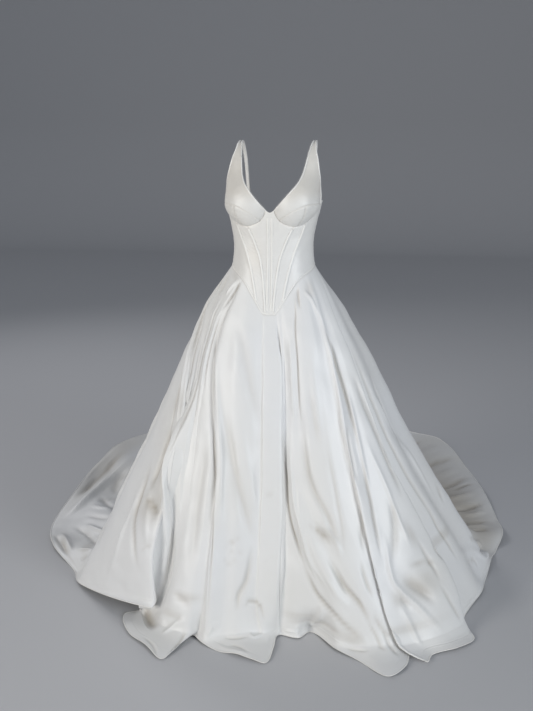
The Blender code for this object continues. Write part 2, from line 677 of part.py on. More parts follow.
def envelope(azimuth, drop):
    """Radius of the skirt's cone, whose crests lie on it, at an azimuth and a share of the way down."""
    turned = (np.asarray(azimuth, float) + 180) % 360 - 180
    base = read(FEET, "azimuth", "radius", turned)
    point = body(waist_theta(turned), waist_height(turned))
    top = np.hypot(point[..., 0], point[..., 1]) + BODICE_WALL
    share = np.clip(drop, 0, 1)
    spring = share + HIP_SPRING * share * np.exp(-share / HIP_FADE) * (1 - share)
    return top + (base - top) * spring


def fold_lines(at):
    """Points of every fold line (rows) at the given places down the skirt (columns)."""
    lines = []
    for fold in FOLDS:
        top = waist_height(fold.waist)
        break_azimuth = fold.foot + BREAK_SHARE * (fold.hem - fold.foot)
        run_azimuth = fold.foot + (1 + BREAK_SHARE) / 2 * (fold.hem - fold.foot)
        azimuth = pchip(
            DROPS,
            [fold.waist, fold.hip, fold.knee, fold.foot, break_azimuth, run_azimuth, fold.hem],
            at,
        )
        inward = np.array([0, fold.hip_in, fold.knee_in, fold.foot_in, fold.foot_in]) / 1000
        steady = np.array([fold.waist, fold.hip, fold.knee, fold.foot, break_azimuth])
        falling = envelope(steady, DROPS[:5]) - inward
        falling[4] = min(falling[4], fold.reach - LEAST_RUN)
        radius = pchip(
            DROPS, [*falling, falling[4] + 0.5 * (fold.reach - falling[4]), fold.reach], at
        )
        low = BREAK_HEIGHT + fold.lift
        falls = top * (1 - DROPS[:4]) + low * DROPS[:4]
        height = pchip(
            DROPS,
            [*falls, low, RUN_HEIGHT + fold.lift, HEM_HEIGHT + fold.lift],
            at,
        )
        turn = np.radians(azimuth)
        lines.append(np.stack([radius * np.sin(turn), -radius * np.cos(turn), height], -1))
    return np.array(lines)


def between(lines, place):
    """Smooth curve across the fold lines at each height; a place is a fold line's number and a fraction.

    It is the centripetal curve through four neighbouring lines, which makes no loop in a tight fold.
    """
    count = len(lines)
    start = np.floor(place).astype(int)
    share = (place - start)[:, None, None]
    near = [lines[(start + step) % count] for step in (-1, 0, 1, 2)]
    gaps = [np.linalg.norm(near[i + 1] - near[i], axis=-1, keepdims=True) for i in range(3)]
    spans = [np.sqrt(gap) + 1e-6 for gap in gaps]
    knots = [np.zeros_like(spans[0]), spans[0], spans[0] + spans[1], spans[0] + spans[1] + spans[2]]
    at = knots[1] + share * spans[1]

    def mixed(low, high, low_knot, high_knot):
        return (low * (high_knot - at) + high * (at - low_knot)) / (high_knot - low_knot)

    first = [mixed(near[i], near[i + 1], knots[i], knots[i + 1]) for i in range(3)]
    second = [mixed(first[i], first[i + 1], knots[i], knots[i + 2]) for i in range(2)]
    return mixed(second[0], second[1], knots[1], knots[2])


def skirt_surface(place, at):
    """Points of the skirt's outside: a column for each place across the folds, a row for each place down."""
    points = between(fold_lines(at), place)
    return np.swapaxes(points, 0, 1)


def skirt_normals(place, at):
    across = skirt_surface(place + PLACE_STEP, at) - skirt_surface(place - PLACE_STEP, at)
    low, high = np.clip(at - DROP_STEP, 0, DROPS[-1]), np.clip(at + DROP_STEP, 0, DROPS[-1])
    down = skirt_surface(place, high) - skirt_surface(place, low)
    found = np.cross(down, across)
    return found / np.linalg.norm(found, axis=-1, keepdims=True)


def skirt_panel(panel):
    """Inner and outer points of one panel, its top edge just below the bodice and its rows going up."""
    names = [fold.name for fold in FOLDS]
    first, last = names.index(panel.first), names.index(panel.last)
    last += len(FOLDS) if last <= first else 0
    place = np.linspace(first, last, (last - first) * SPANS + 1)
    outer = skirt_surface(place, ROWS)
    out = skirt_normals(place, ROWS)
    outer[:, :, 2] -= WAIST_GAP * np.clip(1 - ROWS / DROPS[1], 0, 1)[:, None]
    inner = outer - out * SKIRT_WALL
    low = np.minimum(inner[..., 2], outer[..., 2])
    inner[..., 2] += np.clip(FLOOR_GAP - low, 0, 1)
    return parted(inner)[::-1], parted(outer)[::-1]


def finish_material(name, finish):
    material = bpy.data.materials.new(name)
    material.use_nodes = True
    shader = material.node_tree.nodes["Principled BSDF"]
    shader.inputs["Base Color"].default_value = (*finish.colour, 1)
    shader.inputs["Roughness"].default_value = finish.roughness
    material.diffuse_color = (*finish.colour, 1)
    return material


def clear_scene():
    for thing in list(bpy.data.objects):
        bpy.data.objects.remove(thing, do_unlink=True)


def main():
    clear_scene()
    collection = bpy.data.collections.new("wedding_dress")
    bpy.context.scene.collection.children.link(collection)
    origin = bpy.data.objects.new("shoulders", None)
    collection.objects.link(origin)
    satin, piping = finish_material("satin", SATIN), finish_material("piping", PIPING)
    pieces = {name: bodice_piece(grid) for name, grid in bodice_grids().items()}
    for name, (inner, outer) in pieces.items():
        inner, outer = parted(inner), parted(outer)
        wall(f"{name}_L", inner, outer, satin, origin, collection)
        wall(f"{name}_R", mirrored(inner), mirrored(outer), satin, origin, collection)
    for kind in ("centre", "inner", "outer"):
        inner, outer = channel(pieces, kind)
        wall(f"channel_{kind}_L", inner, outer, piping, origin, collection)
        wall(f"channel_{kind}_R", mirrored(inner), mirrored(outer), piping, origin, collection)
    for side, letter in ((1, "L"), (-1, "R")):
        inner, outer = strap_back(side)
        wall(f"strap_back_{letter}", inner, outer, satin, origin, collection)
    for panel in PANELS:
        inner, outer = skirt_panel(panel)
        wall(panel.name, inner, outer, satin, origin, collection)


main()
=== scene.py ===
"""Looks of a satin wedding dress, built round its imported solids.

Metres, +Z up. The front looks along -Y and +X is the wearer's left. Heights in the tables are above the
floor that the hem lies on. The origin is midway between the tops of the two shoulder straps.
"""

import logging
from collections.abc import Sequence
from dataclasses import dataclass
from enum import Enum
from typing import NamedTuple

import bpy
import numpy as np
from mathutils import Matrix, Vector


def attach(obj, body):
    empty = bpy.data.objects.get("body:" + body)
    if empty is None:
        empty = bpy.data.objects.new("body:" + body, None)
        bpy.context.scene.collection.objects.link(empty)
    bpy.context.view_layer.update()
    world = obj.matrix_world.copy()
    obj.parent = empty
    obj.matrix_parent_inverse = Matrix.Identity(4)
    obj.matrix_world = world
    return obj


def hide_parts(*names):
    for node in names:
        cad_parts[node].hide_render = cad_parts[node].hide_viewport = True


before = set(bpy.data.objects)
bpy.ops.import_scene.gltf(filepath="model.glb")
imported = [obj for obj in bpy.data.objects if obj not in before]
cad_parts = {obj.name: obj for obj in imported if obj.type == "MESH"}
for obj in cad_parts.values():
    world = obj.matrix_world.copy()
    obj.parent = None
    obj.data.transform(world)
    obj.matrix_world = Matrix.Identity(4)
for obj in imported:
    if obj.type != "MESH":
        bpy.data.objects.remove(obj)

LOG = logging.getLogger("wedding_dress")
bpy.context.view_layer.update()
WAVES = 12
TUBE_END = 0.05
TINY = 1e-12

Points = np.ndarray
Socket = bpy.types.NodeSocket
Pair = tuple[float, float]
Triple = tuple[float, float, float]


class Level(NamedTuple):
    """One level of the figure under the bodice: how far up its surface, its height and its half sizes."""

    climb: float
    height: float
    half_width: float
    front: float
    back: float


class Seam(NamedTuple):
    """A place on the bodice front: metres from the centre line, and height."""

    x: float
    height: float


class Edge(NamedTuple):
    """A place on the top edge: angle round the figure in degrees, and height."""

    angle: float
    height: float


class StrapPlace(NamedTuple):
    """A place on the back half of a strap: metres in from the shoulder's place, back, and height."""

    inward: float
    y: float
    height: float


class Waist(NamedTuple):
    """Height of the waist seam at an azimuth in degrees from the front."""

    azimuth: float
    height: float


class Foot(NamedTuple):
    """Radius at which the skirt's cone would meet the floor, at an azimuth in degrees."""

    azimuth: float
    radius: float


class Fold(NamedTuple):
    """A fold line of the skirt: azimuths in degrees, millimetres in from the cone, hem distance and lift."""

    name: str
    waist: float
    hip: float
    knee: float
    foot: float
    hem: float
    hip_in: float
    knee_in: float
    foot_in: float
    reach: float
    lift: float


class Panel(NamedTuple):
    """A skirt panel between two fold lines, its flat cut, and its columns' spacing in mm at both borders."""

    name: str
    first: str
    last: str
    flat: Pair
    area: float
    spacing: Pair


class Form(Enum):
    """How a crease stands: a soft valley or a soft crest."""

    TROUGH = -1
    RIDGE = 1


class Crease(NamedTuple):
    """A crease placed on the skirt, with its width and height in mm.

    Its path goes through places of (fold, drop): fold lines counted from the back seam with the share of the
    way to the next one, and how far down, 1 being where the cloth turns out over the floor.
    """

    form: Form
    width: float
    height: float
    path: tuple[Pair, ...]


class Shade(NamedTuple):
    """A patch of painted shade on the satin: its fold and drop, its half sizes in both, and how deep it is.
    """

    fold: float
    drop: float
    folds: float
    drops: float
    depth: float


# The figure and the seams of the bodice
SHOULDER_HEIGHT = 1.495
SHOULDER_CLIMB = 1.545
LEAN = 0.0125
LEAN_FROM = 1.25
ROUNDNESS = 2.25
BODICE_WALL = 0.0022
LEVELS = [
    Level(0.960, 0.960, 0.158, 0.116, 0.125),
    Level(1.040, 1.040, 0.143, 0.108, 0.108),
    Level(1.120, 1.120, 0.126, 0.097, 0.093),
    Level(1.170, 1.170, 0.121, 0.092, 0.086),
    Level(1.210, 1.210, 0.123, 0.093, 0.087),
    Level(1.250, 1.250, 0.130, 0.098, 0.093),
    Level(1.300, 1.300, 0.141, 0.104, 0.102),
    Level(1.350, 1.350, 0.149, 0.105, 0.109),
    Level(1.400, 1.400, 0.153, 0.098, 0.112),
    Level(1.440, 1.438, 0.155, 0.082, 0.108),
    Level(1.480, 1.470, 0.156, 0.058, 0.092),
    Level(1.520, 1.490, 0.157, 0.026, 0.060),
    Level(1.545, 1.495, 0.157, 0.000, 0.026),
]
INNER_SEAM = [
    Seam(0.0125, 0.960),
    Seam(0.0130, 1.000),
    Seam(0.0165, 1.050),
    Seam(0.0215, 1.100),
    Seam(0.0300, 1.150),
    Seam(0.0470, 1.200),
    Seam(0.0700, 1.249),
]
OUTER_SEAM = [
    Seam(0.0365, 0.985),
    Seam(0.0400, 1.020),
    Seam(0.0460, 1.060),
    Seam(0.0560, 1.110),
    Seam(0.0700, 1.162),
    Seam(0.0900, 1.218),
    Seam(0.1050, 1.260),
]
UNDERWIRE = [
    Seam(0.0140, 1.2960),
    Seam(0.0195, 1.2810),
    Seam(0.0290, 1.2680),
    Seam(0.0460, 1.2560),
    Seam(0.0700, 1.2490),
    Seam(0.0880, 1.2510),
    Seam(0.1050, 1.2600),
    Seam(0.1180, 1.2720),
    Seam(0.1300, 1.2870),
    Seam(0.1395, 1.3040),
]
CUP_SEAM = [
    Seam(0.0290, 1.2680),
    Seam(0.0450, 1.2830),
    Seam(0.0650, 1.2990),
    Seam(0.0880, 1.3110),
    Seam(0.1080, 1.3150),
    Seam(0.1260, 1.3150),
    Seam(0.1415, 1.3140),
]
CUP_UPRIGHT = [Seam(0.0780, 1.2495), Seam(0.0870, 1.2800), Seam(0.0900, 1.3117)]
NECKLINE = [
    Seam(0.0140, 1.2960),
    Seam(0.0240, 1.3090),
    Seam(0.0530, 1.3480),
    Seam(0.0810, 1.3850),
    Seam(0.0915, 1.4080),
    Seam(0.0985, 1.4480),
    Seam(0.1042, 1.4950),
    Seam(0.1085, 1.5450),
]
ARMHOLE = [
    Seam(0.1415, 1.3140),
    Seam(0.1430, 1.3300),
    Seam(0.1420, 1.3500),
    Seam(0.1390, 1.3750),
    Seam(0.1350, 1.4050),
    Seam(0.1278, 1.4450),
    Seam(0.1190, 1.4850),
    Seam(0.1152, 1.5450),
]
NOTCH = [Seam(0.0, 1.288), Seam(0.0060, 1.2902), UNDERWIRE[0]]
UNDERARM = Edge(84.0, 1.312)
SIDE_TOP = Edge(90.0, 1.318)
SIDE_BACK_MID = Edge(110.0, 1.307)
SIDE_BACK_TOP = Edge(132.0, 1.285)
BACK_MID = Edge(155.0, 1.268)
BACK_TOP = Edge(180.0, 1.262)
WAISTLINE = 1.200
SHOULDER_X = 0.1125
STRAP_END = Edge(141.0, 1.284)
STRAP = [
    StrapPlace(0.000, 0.0000, 1.4950),
    StrapPlace(0.000, 0.0200, 1.4925),
    StrapPlace(0.001, 0.0500, 1.4760),
    StrapPlace(0.004, 0.0800, 1.4440),
    StrapPlace(0.009, 0.0980, 1.3950),
    StrapPlace(0.016, 0.1010, 1.3350),
]
WAIST = [
    Waist(0, 0.985),
    Waist(9, 0.987),
    Waist(12, 0.993),
    Waist(20, 1.018),
    Waist(28, 1.042),
    Waist(45, 1.086),
    Waist(62, 1.107),
    Waist(90, 1.122),
    Waist(130, 1.118),
    Waist(180, 1.108),
]

# The skirt's outline and its fold lines, round from the back seam by the wearer's right
FEET = [
    Foot(-180, 0.72),
    Foot(-150, 0.74),
    Foot(-120, 0.74),
    Foot(-100, 0.70),
    Foot(-85, 0.668),
    Foot(-50, 0.475),
    Foot(-30, 0.42),
    Foot(-10, 0.35),
    Foot(9, 0.32),
    Foot(20, 0.34),
    Foot(40, 0.47),
    Foot(55, 0.575),
    Foot(70, 0.64),
    Foot(95, 0.70),
    Foot(112, 0.79),
    Foot(130, 0.82),
    Foot(150, 0.79),
    Foot(180, 0.72),
]
FOLDS = [
    Fold("back_seam", -180, -180, -180, -180, -180, 12, 30, 34, 1.780, 0.000),
    Fold("back_r1", -171, -170, -170, -170, -173, 0, 0, 0, 1.790, 0.012),
    Fold("back_r1_in", -163, -161, -160, -161, -166, 12, 34, 40, 1.770, 0.000),
    Fold("back_r2", -154, -151, -150, -151, -159, 0, 0, 0, 1.750, 0.012),
    Fold("back_r2_in", -145, -141, -140, -142, -152, 12, 34, 40, 1.715, 0.000),
    Fold("back_r3", -136, -131, -131, -133, -145, 0, 0, 0, 1.600, 0.012),
    Fold("back_r3_in", -127, -122, -122, -125, -137, 12, 34, 40, 1.405, 0.000),
    Fold("back_r4", -118, -113, -113, -117, -127, 0, 0, 0, 1.180, 0.014),
    Fold("side_r_in", -110, -105, -105, -109, -112, 10, 26, 34, 1.000, 0.000),
    Fold("side_r", -103, -99, -98, -100, -103, 0, 4, 6, 0.880, 0.010),
    Fold("panel_a_in", -98, -95, -91, -93, -92, 5, 10, 14, 0.715, 0.000),
    Fold("panel_a", -95, -92, -83, -84, -85, 0, 0, 0, 0.675, 0.006),
    Fold("panel_a_mid", -92, -88, -69, -67, -67.5, 0, 2, 0, 0.545, 0.042),
    Fold("panel_a_edge", -89, -84, -55, -50.5, -49.5, 0, -3, -5, 0.458, 0.068),
    Fold("cluster_in", -86, -81, -56.5, -53.5, -53.5, 9, 11, 12, 0.441, 0.056),
    Fold("cluster", -82, -76, -60, -58.5, -59, 2, 14, 20, 0.462, 0.032),
    Fold("cluster_deep", -76, -70, -61, -61.5, -63, 10, 25, 33, 0.469, 0.002),
    Fold("panel_d_edge", -69, -65, -55.5, -52, -63, 0, 16, 66, 0.512, 0.000),
    Fold("panel_d", -60, -61, -50, -45, -50, 2, 3, 12, 0.536, 0.004),
    Fold("panel_d_mid", -53, -58.5, -43, -38, -40, 3, 0, 0, 0.530, 0.006),
    Fold("panel_d_lobe", -48.5, -57, -36, -32.5, -30.5, 6, 3, 2, 0.542, 0.004),
    Fold("left_apex_in", -46, -55.5, -32.5, -28, -33, 7, 12, 12, 0.395, 0.004),
    Fold("panel_e_edge", -43.5, -52, -30, -25, -24, 0, -2, -3, 0.410, 0.004),
    Fold("panel_e_dip", -37, -41, -23.5, -18.5, -16, 2, 6, 7, 0.418, 0.000),
    Fold("panel_e", -29, -29, -17, -13, -8, 0, 0, 0, 0.424, 0.006),
    Fold("panel_e_front", -18, -16, -9, -8, -1, 0, 2, 2, 0.440, 0.006),
    Fold("strip_left_in", -8.6, -5.6, -2.8, -3.2, 4.2, 2, 5, 5, 0.448, 0.002),
    Fold("strip_left", -7, -4.0, -1.2, -1.4, 7.0, -2, -2, 0, 0.372, 0.002),
    Fold("strip_right", 9.5, 14.6, 13.8, 9.4, 8.8, -3, -4, -4, 0.306, 0.003),
    Fold("strip_right_in", 10.8, 15.2, 13.4, 10.4, 12, 5, 14, 14, 0.296, 0.000),
    Fold("front_gore", 13.5, 17.4, 15.2, 21, 21, 3, 12, 4, 0.324, 0.002),
    Fold("front_gore_in", 17, 19.5, 17.2, 31, 30, 5, 10, 10, 0.300, 0.000),
    Fold("front_roll", 23, 23.5, 21.5, 35.5, 33.5, 0, 0, 0, 0.420, 0.006),
    Fold("front_roll_in", 44, 31, 27.3, 40.5, 37.5, 5, 6, 7, 0.500, 0.000),
    Fold("panel_p", 46.5, 36, 33, 44, 40, 0, 0, 0, 0.612, 0.003),
    Fold("panel_p_mid", 51, 45, 42, 47.5, 47, 0, 3, 2, 0.606, 0.006),
    Fold("panel_f_in", 56, 53, 51, 53, 56, 6, 14, 18, 0.560, 0.000),
    Fold("panel_f_edge", 60, 55.4, 50, 48.8, 52.5, -1, -3, -5, 0.638, 0.006),
    Fold("panel_f_dip", 66, 58.5, 55.5, 57, 57, 4, 8, 9, 0.625, 0.002),
    Fold("panel_f", 73, 63.5, 62, 66, 63.5, 0, 0, 0, 0.672, 0.006),
    Fold("panel_f_end", 83, 69, 70.5, 77, 70.5, -2, -3, -5, 0.697, 0.004),
    Fold("panel_g_in", 87, 69.4, 70.5, 77.5, 77, 10, 20, 22, 0.645, 0.000),
    Fold("panel_g", 92, 76, 81, 93, 95, 1, 0, 0, 0.709, 0.004),
    Fold("panel_g_dip", 99, 89, 92, 100, 102, 5, 10, 14, 0.745, 0.000),
    Fold("panel_h", 109, 106, 106, 109, 111, 0, 0, 0, 0.817, 0.012),
    Fold("panel_h_in", 118, 119, 118, 118, 116, 10, 28, 34, 0.880, 0.000),
    Fold("back_l4", 126, 129, 128, 127, 121, 0, 0, 0, 0.965, 0.020),
    Fold("back_l3_in", 134, 137, 137, 135, 129, 12, 34, 40, 1.060, 0.000),
    Fold("back_l3", 143, 146, 146, 144, 138, 0, 0, 0, 1.195, 0.014),
    Fold("back_l2_in", 151, 154, 154, 153, 148, 12, 34, 40, 1.420, 0.000),
    Fold("back_l2", 159, 161, 161, 161, 158, 0, 0, 0, 1.700, 0.012),
    Fold("back_l1_in", 166, 167, 167, 167, 165, 10, 28, 34, 1.765, 0.000),
    Fold("back_l1", 173, 173, 173, 173, 172, 0, 0, 0, 1.785, 0.012),
]
DROPS = np.array([0.0, 0.16, 0.55, 0.90, 1.0, 1.25, 1.5])


def pchip(knots: Sequence[float], values: Sequence[float], at: np.ndarray) -> np.ndarray:
    """Reads a smooth curve through knots that never overshoots them: monotone cubic pieces.

    Args:
        knots: rising places of the known values.
        values: the value at each knot.
        at: places to read.

    Returns:
        The values at those places.
    """
    knots, values, at = (np.asarray(each, float) for each in (knots, values, at))
    step = np.diff(knots)
    slope = np.diff(values) / step
    inner = np.zeros_like(slope[1:])
    same = slope[1:] * slope[:-1] > 0
    first, second = 2 * step[1:] + step[:-1], step[1:] + 2 * step[:-1]
    weighted = first[same] / slope[:-1][same] + second[same] / slope[1:][same]
    inner[same] = (first[same] + second[same]) / weighted
    tangent = np.concatenate([slope[:1], inner, slope[-1:]])
    place = np.clip(np.searchsorted(knots, at, side="right") - 1, 0, len(step) - 1)
    share = np.clip((at - knots[place]) / step[place], 0, 1)
    rest = 1 - share
    start = values[place] * (1 + 2 * share) * rest**2 + tangent[place] * step[place] * share * rest**2
    end = values[place + 1] * share**2 * (3 - 2 * share) - tangent[place + 1] * step[place] * share**2 * rest
    return start + end


def read(table: Sequence[NamedTuple], key: str, name: str, at: np.ndarray) -> np.ndarray:
    """Reads one named column of a table smoothly, at places of its key column."""
    return pchip([getattr(row, key) for row in table], [getattr(row, name) for row in table], at)


def unit(vectors: Points) -> Points:
    """Vectors at a length of one."""
    return vectors / np.maximum(np.linalg.norm(vectors, axis=-1, keepdims=True), TINY)


def even(count: int) -> np.ndarray:
    """Shares from 0 to 1, evenly spaced."""
    return np.linspace(0, 1, count)


def lengths(points: Points, axis: int) -> np.ndarray:
    """Distance along a grid's rows or columns: the sum of the steps from its first border.

    Args:
        points: the grid.
        axis: 1 to go along the rows, 0 to go along the columns.

    Returns:
        The distance at each place of the grid.
    """
    steps = np.linalg.norm(np.diff(points, axis=axis), axis=-1)
    lead = np.zeros_like(np.take(steps, [0], axis))
    return np.concatenate([lead, np.cumsum(steps, axis)], axis)


def ripple(points: Points, wavelength: float, seed: int) -> np.ndarray:
    """Uneven field from -1 to 1 or so: the mean of a dozen sine waves of drawn directions and phases.

    Args:
        points: places to read it at.
        wavelength: usual distance between crests, in metres.
        seed: seed of the drawn directions and phases.

    Returns:
        The field's value at each place.
    """
    rng = np.random.default_rng(seed)
    waves = unit(rng.normal(size=(WAVES, 3)))
    waves *= 2 * np.pi / wavelength * rng.uniform(0.6, 1.5, (WAVES, 1))
    phases = rng.uniform(0, 2 * np.pi, WAVES)
    return np.sin(points @ waves.T + phases).sum(-1) / np.sqrt(WAVES)


def bell(distance: np.ndarray, width: float | np.ndarray) -> np.ndarray:
    """Smooth bump of height one that falls away over the given width."""
    return np.exp(-((distance / width) ** 2))


def leaned(points: Points) -> Points:
    """Moves places from the tables' axis to the part's own: above the waist the body leans to its left.

    Args:
        points: places with their heights above the floor.

    Returns:
        The places in the part's own frame.
    """
    share = np.clip((points[..., 2] - LEAN_FROM) / (SHOULDER_HEIGHT - LEAN_FROM), 0, 1)
    down = np.full_like(share, -SHOULDER_HEIGHT)
    return points + np.stack([LEAN * (share**1.5 - 1), np.zeros_like(share), down], -1)


def mirrored(points: Points) -> Points:
    """A grid on the other side, with its columns turned round so that they still run to +X."""
    return points[:, ::-1] * np.array([-1.0, 1.0, 1.0])


@dataclass(frozen=True)
class Figure:
    """The surface that the bodice lies on: a superellipse for each level, with two cups standing off it."""

    cup_x: float = 0.083
    cup_height: float = 1.314
    cup_depth: float = 0.036
    cup_in: float = 0.069
    cup_out: float = 0.0565
    cup_up: float = 0.105
    side_fullness: float = 0.8
    lower_fullness: float = 0.72
    upper_fullness: float = 2.0
    step: float = 0.002
    scale: Pair = (0.13, 1.0)
    fine: int = 400
    margin: float = 1e-4

    def section(self, theta: np.ndarray, climb: np.ndarray) -> tuple[np.ndarray, ...]:
        """Place and level outward direction of the figure.

        It is a superellipse in x and y, whose half sizes change as it climbs.

        Args:
            theta: angle round the superellipse, 0 at the front.
            climb: distance up the surface.

        Returns:
            x, y, height, and the outward direction's x and y.
        """
        half = read(LEVELS, "climb", "half_width", climb)
        front, back = read(LEVELS, "climb", "front", climb), read(LEVELS, "climb", "back", climb)
        height = read(LEVELS, "climb", "height", climb)
        depth = np.where(np.cos(theta) > 0, front, back) + 1e-5
        power = 2 / ROUNDNESS
        x = half * np.sign(np.sin(theta)) * np.abs(np.sin(theta)) ** power
        y = -depth * np.sign(np.cos(theta)) * np.abs(np.cos(theta)) ** power
        push_x = np.sign(x) * np.abs(x / half) ** (ROUNDNESS - 1) / half
        push_y = np.sign(y) * np.abs(y / depth) ** (ROUNDNESS - 1) / depth
        size = np.hypot(push_x, push_y)
        return x, y, height, push_x / size, push_y / size

    def angle_at(self, x: np.ndarray, climb: np.ndarray) -> np.ndarray:
        """Angle of the front place that is x from the centre line."""
        half = read(LEVELS, "climb", "half_width", climb)
        return np.sign(x) * np.arcsin(np.clip(np.abs(x) / half, 0, 1) ** (ROUNDNESS / 2))

    def cup(self, x: np.ndarray, height: np.ndarray) -> np.ndarray:
        """How far a cup stands off: nothing at the underwire, most at the apex, fading above.

        Args:
            x: distance from the centre line.
            height: height above the floor.

        Returns:
            The distance off the superellipse.
        """
        side = np.abs(x) - self.cup_x
        across = side / np.where(side < 0, self.cup_in, self.cup_out)
        depth = self.cup_depth * np.clip(1 - across**2, 0, 1) ** self.side_fullness
        wire = read(UNDERWIRE, "x", "height", np.abs(x))
        low = np.clip((height - wire) / (self.cup_height - wire), 0, 1)
        high = np.clip((height - self.cup_height) / self.cup_up, 0, 1)
        return depth * (1 - (1 - low) ** 2) ** self.lower_fullness * (1 - high**2) ** self.upper_fullness

    def inside(self, theta: np.ndarray, climb: np.ndarray) -> Points:
        """The surface under the cloth: the superellipse, pushed out level by the cups.

        Args:
            theta: angle round the superellipse.
            climb: distance up the surface.

        Returns:
            Its places.
        """
        x, y, height, out_x, out_y = self.section(theta, climb)
        off = np.where(np.cos(theta) > 0, self.cup(x, height), 0)
        return np.stack([x + off * out_x, y + off * out_y, height], -1)

    def outward(self, theta: np.ndarray, climb: np.ndarray) -> Points:
        """Unit normals of that surface: the cross product of short steps along it and up it.

        Args:
            theta: angle round the superellipse.
            climb: distance up the surface.

        Returns:
            The normals.
        """
        turn = self.step / self.scale[0]
        along = self.inside(theta + turn, climb) - self.inside(theta - turn, climb)
        up = self.inside(theta, climb + self.step) - self.inside(theta, climb - self.step)
        return unit(np.cross(along, up))

    def outside(self, theta: np.ndarray, climb: np.ndarray) -> Points:
        """The outer face of the cloth, one wall off the figure."""
        return self.inside(theta, climb) + self.outward(theta, climb) * BODICE_WALL

    def line(self, points: Sequence[Sequence[float]], count: int) -> Points:
        """Spaces places evenly along a smooth line.

        Args:
            points: the (theta, climb) places that it goes through.
            count: how many places.

        Returns:
            The (theta, climb) places.
        """
        points = np.asarray(points, float)
        length = np.concatenate([[0], np.cumsum(np.hypot(*(np.diff(points, axis=0) * self.scale).T))])
        at = even(count) * length[-1]
        return np.stack([pchip(length, points[:, 0], at), pchip(length, points[:, 1], at)], -1)

    def front_line(self, seam: Sequence[Seam], count: int) -> Points:
        """A seam of the front as evenly spaced (theta, climb) places."""
        turned = [(float(self.angle_at(np.array(p.x), np.array(p.height))), p.height) for p in seam]
        return self.line(turned, count)

    def resampled(self, path: Points, count: int) -> Points:
        """Spaces a line's places evenly.

        Args:
            path: the line, as (theta, climb) places.
            count: how many places.

        Returns:
            The (theta, climb) places.
        """
        length = np.concatenate([[0], np.cumsum(np.hypot(*(np.diff(path, axis=0) * self.scale).T))])
        at = even(count) * length[-1]
        return np.stack([np.interp(at, length, path[:, 0]), np.interp(at, length, path[:, 1])], -1)

    def stretch(self, seam: Sequence[Seam], low: float, high: float, count: int) -> Points:
        """Cuts out the part of a front seam between two distances from the centre line.

        Args:
            seam: the seam.
            low: the nearer distance.
            high: the farther distance.
            count: how many places.

        Returns:
            The part, as evenly spaced (theta, climb) places.
        """
        path = self.front_line(seam, self.fine)
        x = self.section(path[:, 0], path[:, 1])[0]
        return self.resampled(path[(x >= low - self.margin) & (x <= high + self.margin)], count)


def waist_height(azimuth: np.ndarray) -> np.ndarray:
    """Height of the waist seam at azimuths in degrees."""
    turned = np.abs((np.asarray(azimuth, float) + 180) % 360 - 180)
    return read(WAIST, "azimuth", "height", turned)


def waist_theta(azimuth: np.ndarray) -> np.ndarray:
    """Superellipse angle of the figure on the waist seam.

    Args:
        azimuth: degrees round the axis, 0 at the front.

    Returns:
        The angle at each azimuth.
    """
    height = waist_height(azimuth)
    half = read(LEVELS, "climb", "half_width", height)
    turn = np.radians(azimuth)
    front, back = read(LEVELS, "climb", "front", height), read(LEVELS, "climb", "back", height)
    depth = np.where(np.cos(turn) > 0, front, back)
    side, ahead = np.abs(np.sin(turn)) / half, np.abs(np.cos(turn)) / depth
    theta = np.arctan2(side ** (ROUNDNESS / 2), ahead ** (ROUNDNESS / 2))
    theta = np.where(np.cos(turn) > 0, theta, np.pi - theta)
    return theta * np.where(np.sin(turn) < 0, -1, 1)


def waist_climb(theta: np.ndarray) -> np.ndarray:
    """Height of the waist seam at superellipse angles."""
    azimuths = np.linspace(0, 180, 361)
    return np.interp(np.abs(theta), waist_theta(azimuths), waist_height(azimuths))


def patch(left: Points, right: Points, bottom: Points, top: Points) -> Points:
    """Fills four lines that meet at their corners: the sum of both blends less the corners' blend.

    Args:
        left: line up the first border.
        right: line up the last border.
        bottom: line across the foot.
        top: line across the head.

    Returns:
        A grid of (theta, climb), rows going up.
    """
    across, up = even(len(bottom))[None, :, None], even(len(left))[:, None, None]
    sides = left[:, None] * (1 - across) + right[:, None] * across
    ends = bottom[None] * (1 - up) + top[None] * up
    foot = bottom[0] * (1 - across) + bottom[-1] * across
    head = top[0] * (1 - across) + top[-1] * across
    return sides + ends - foot * (1 - up) - head * up


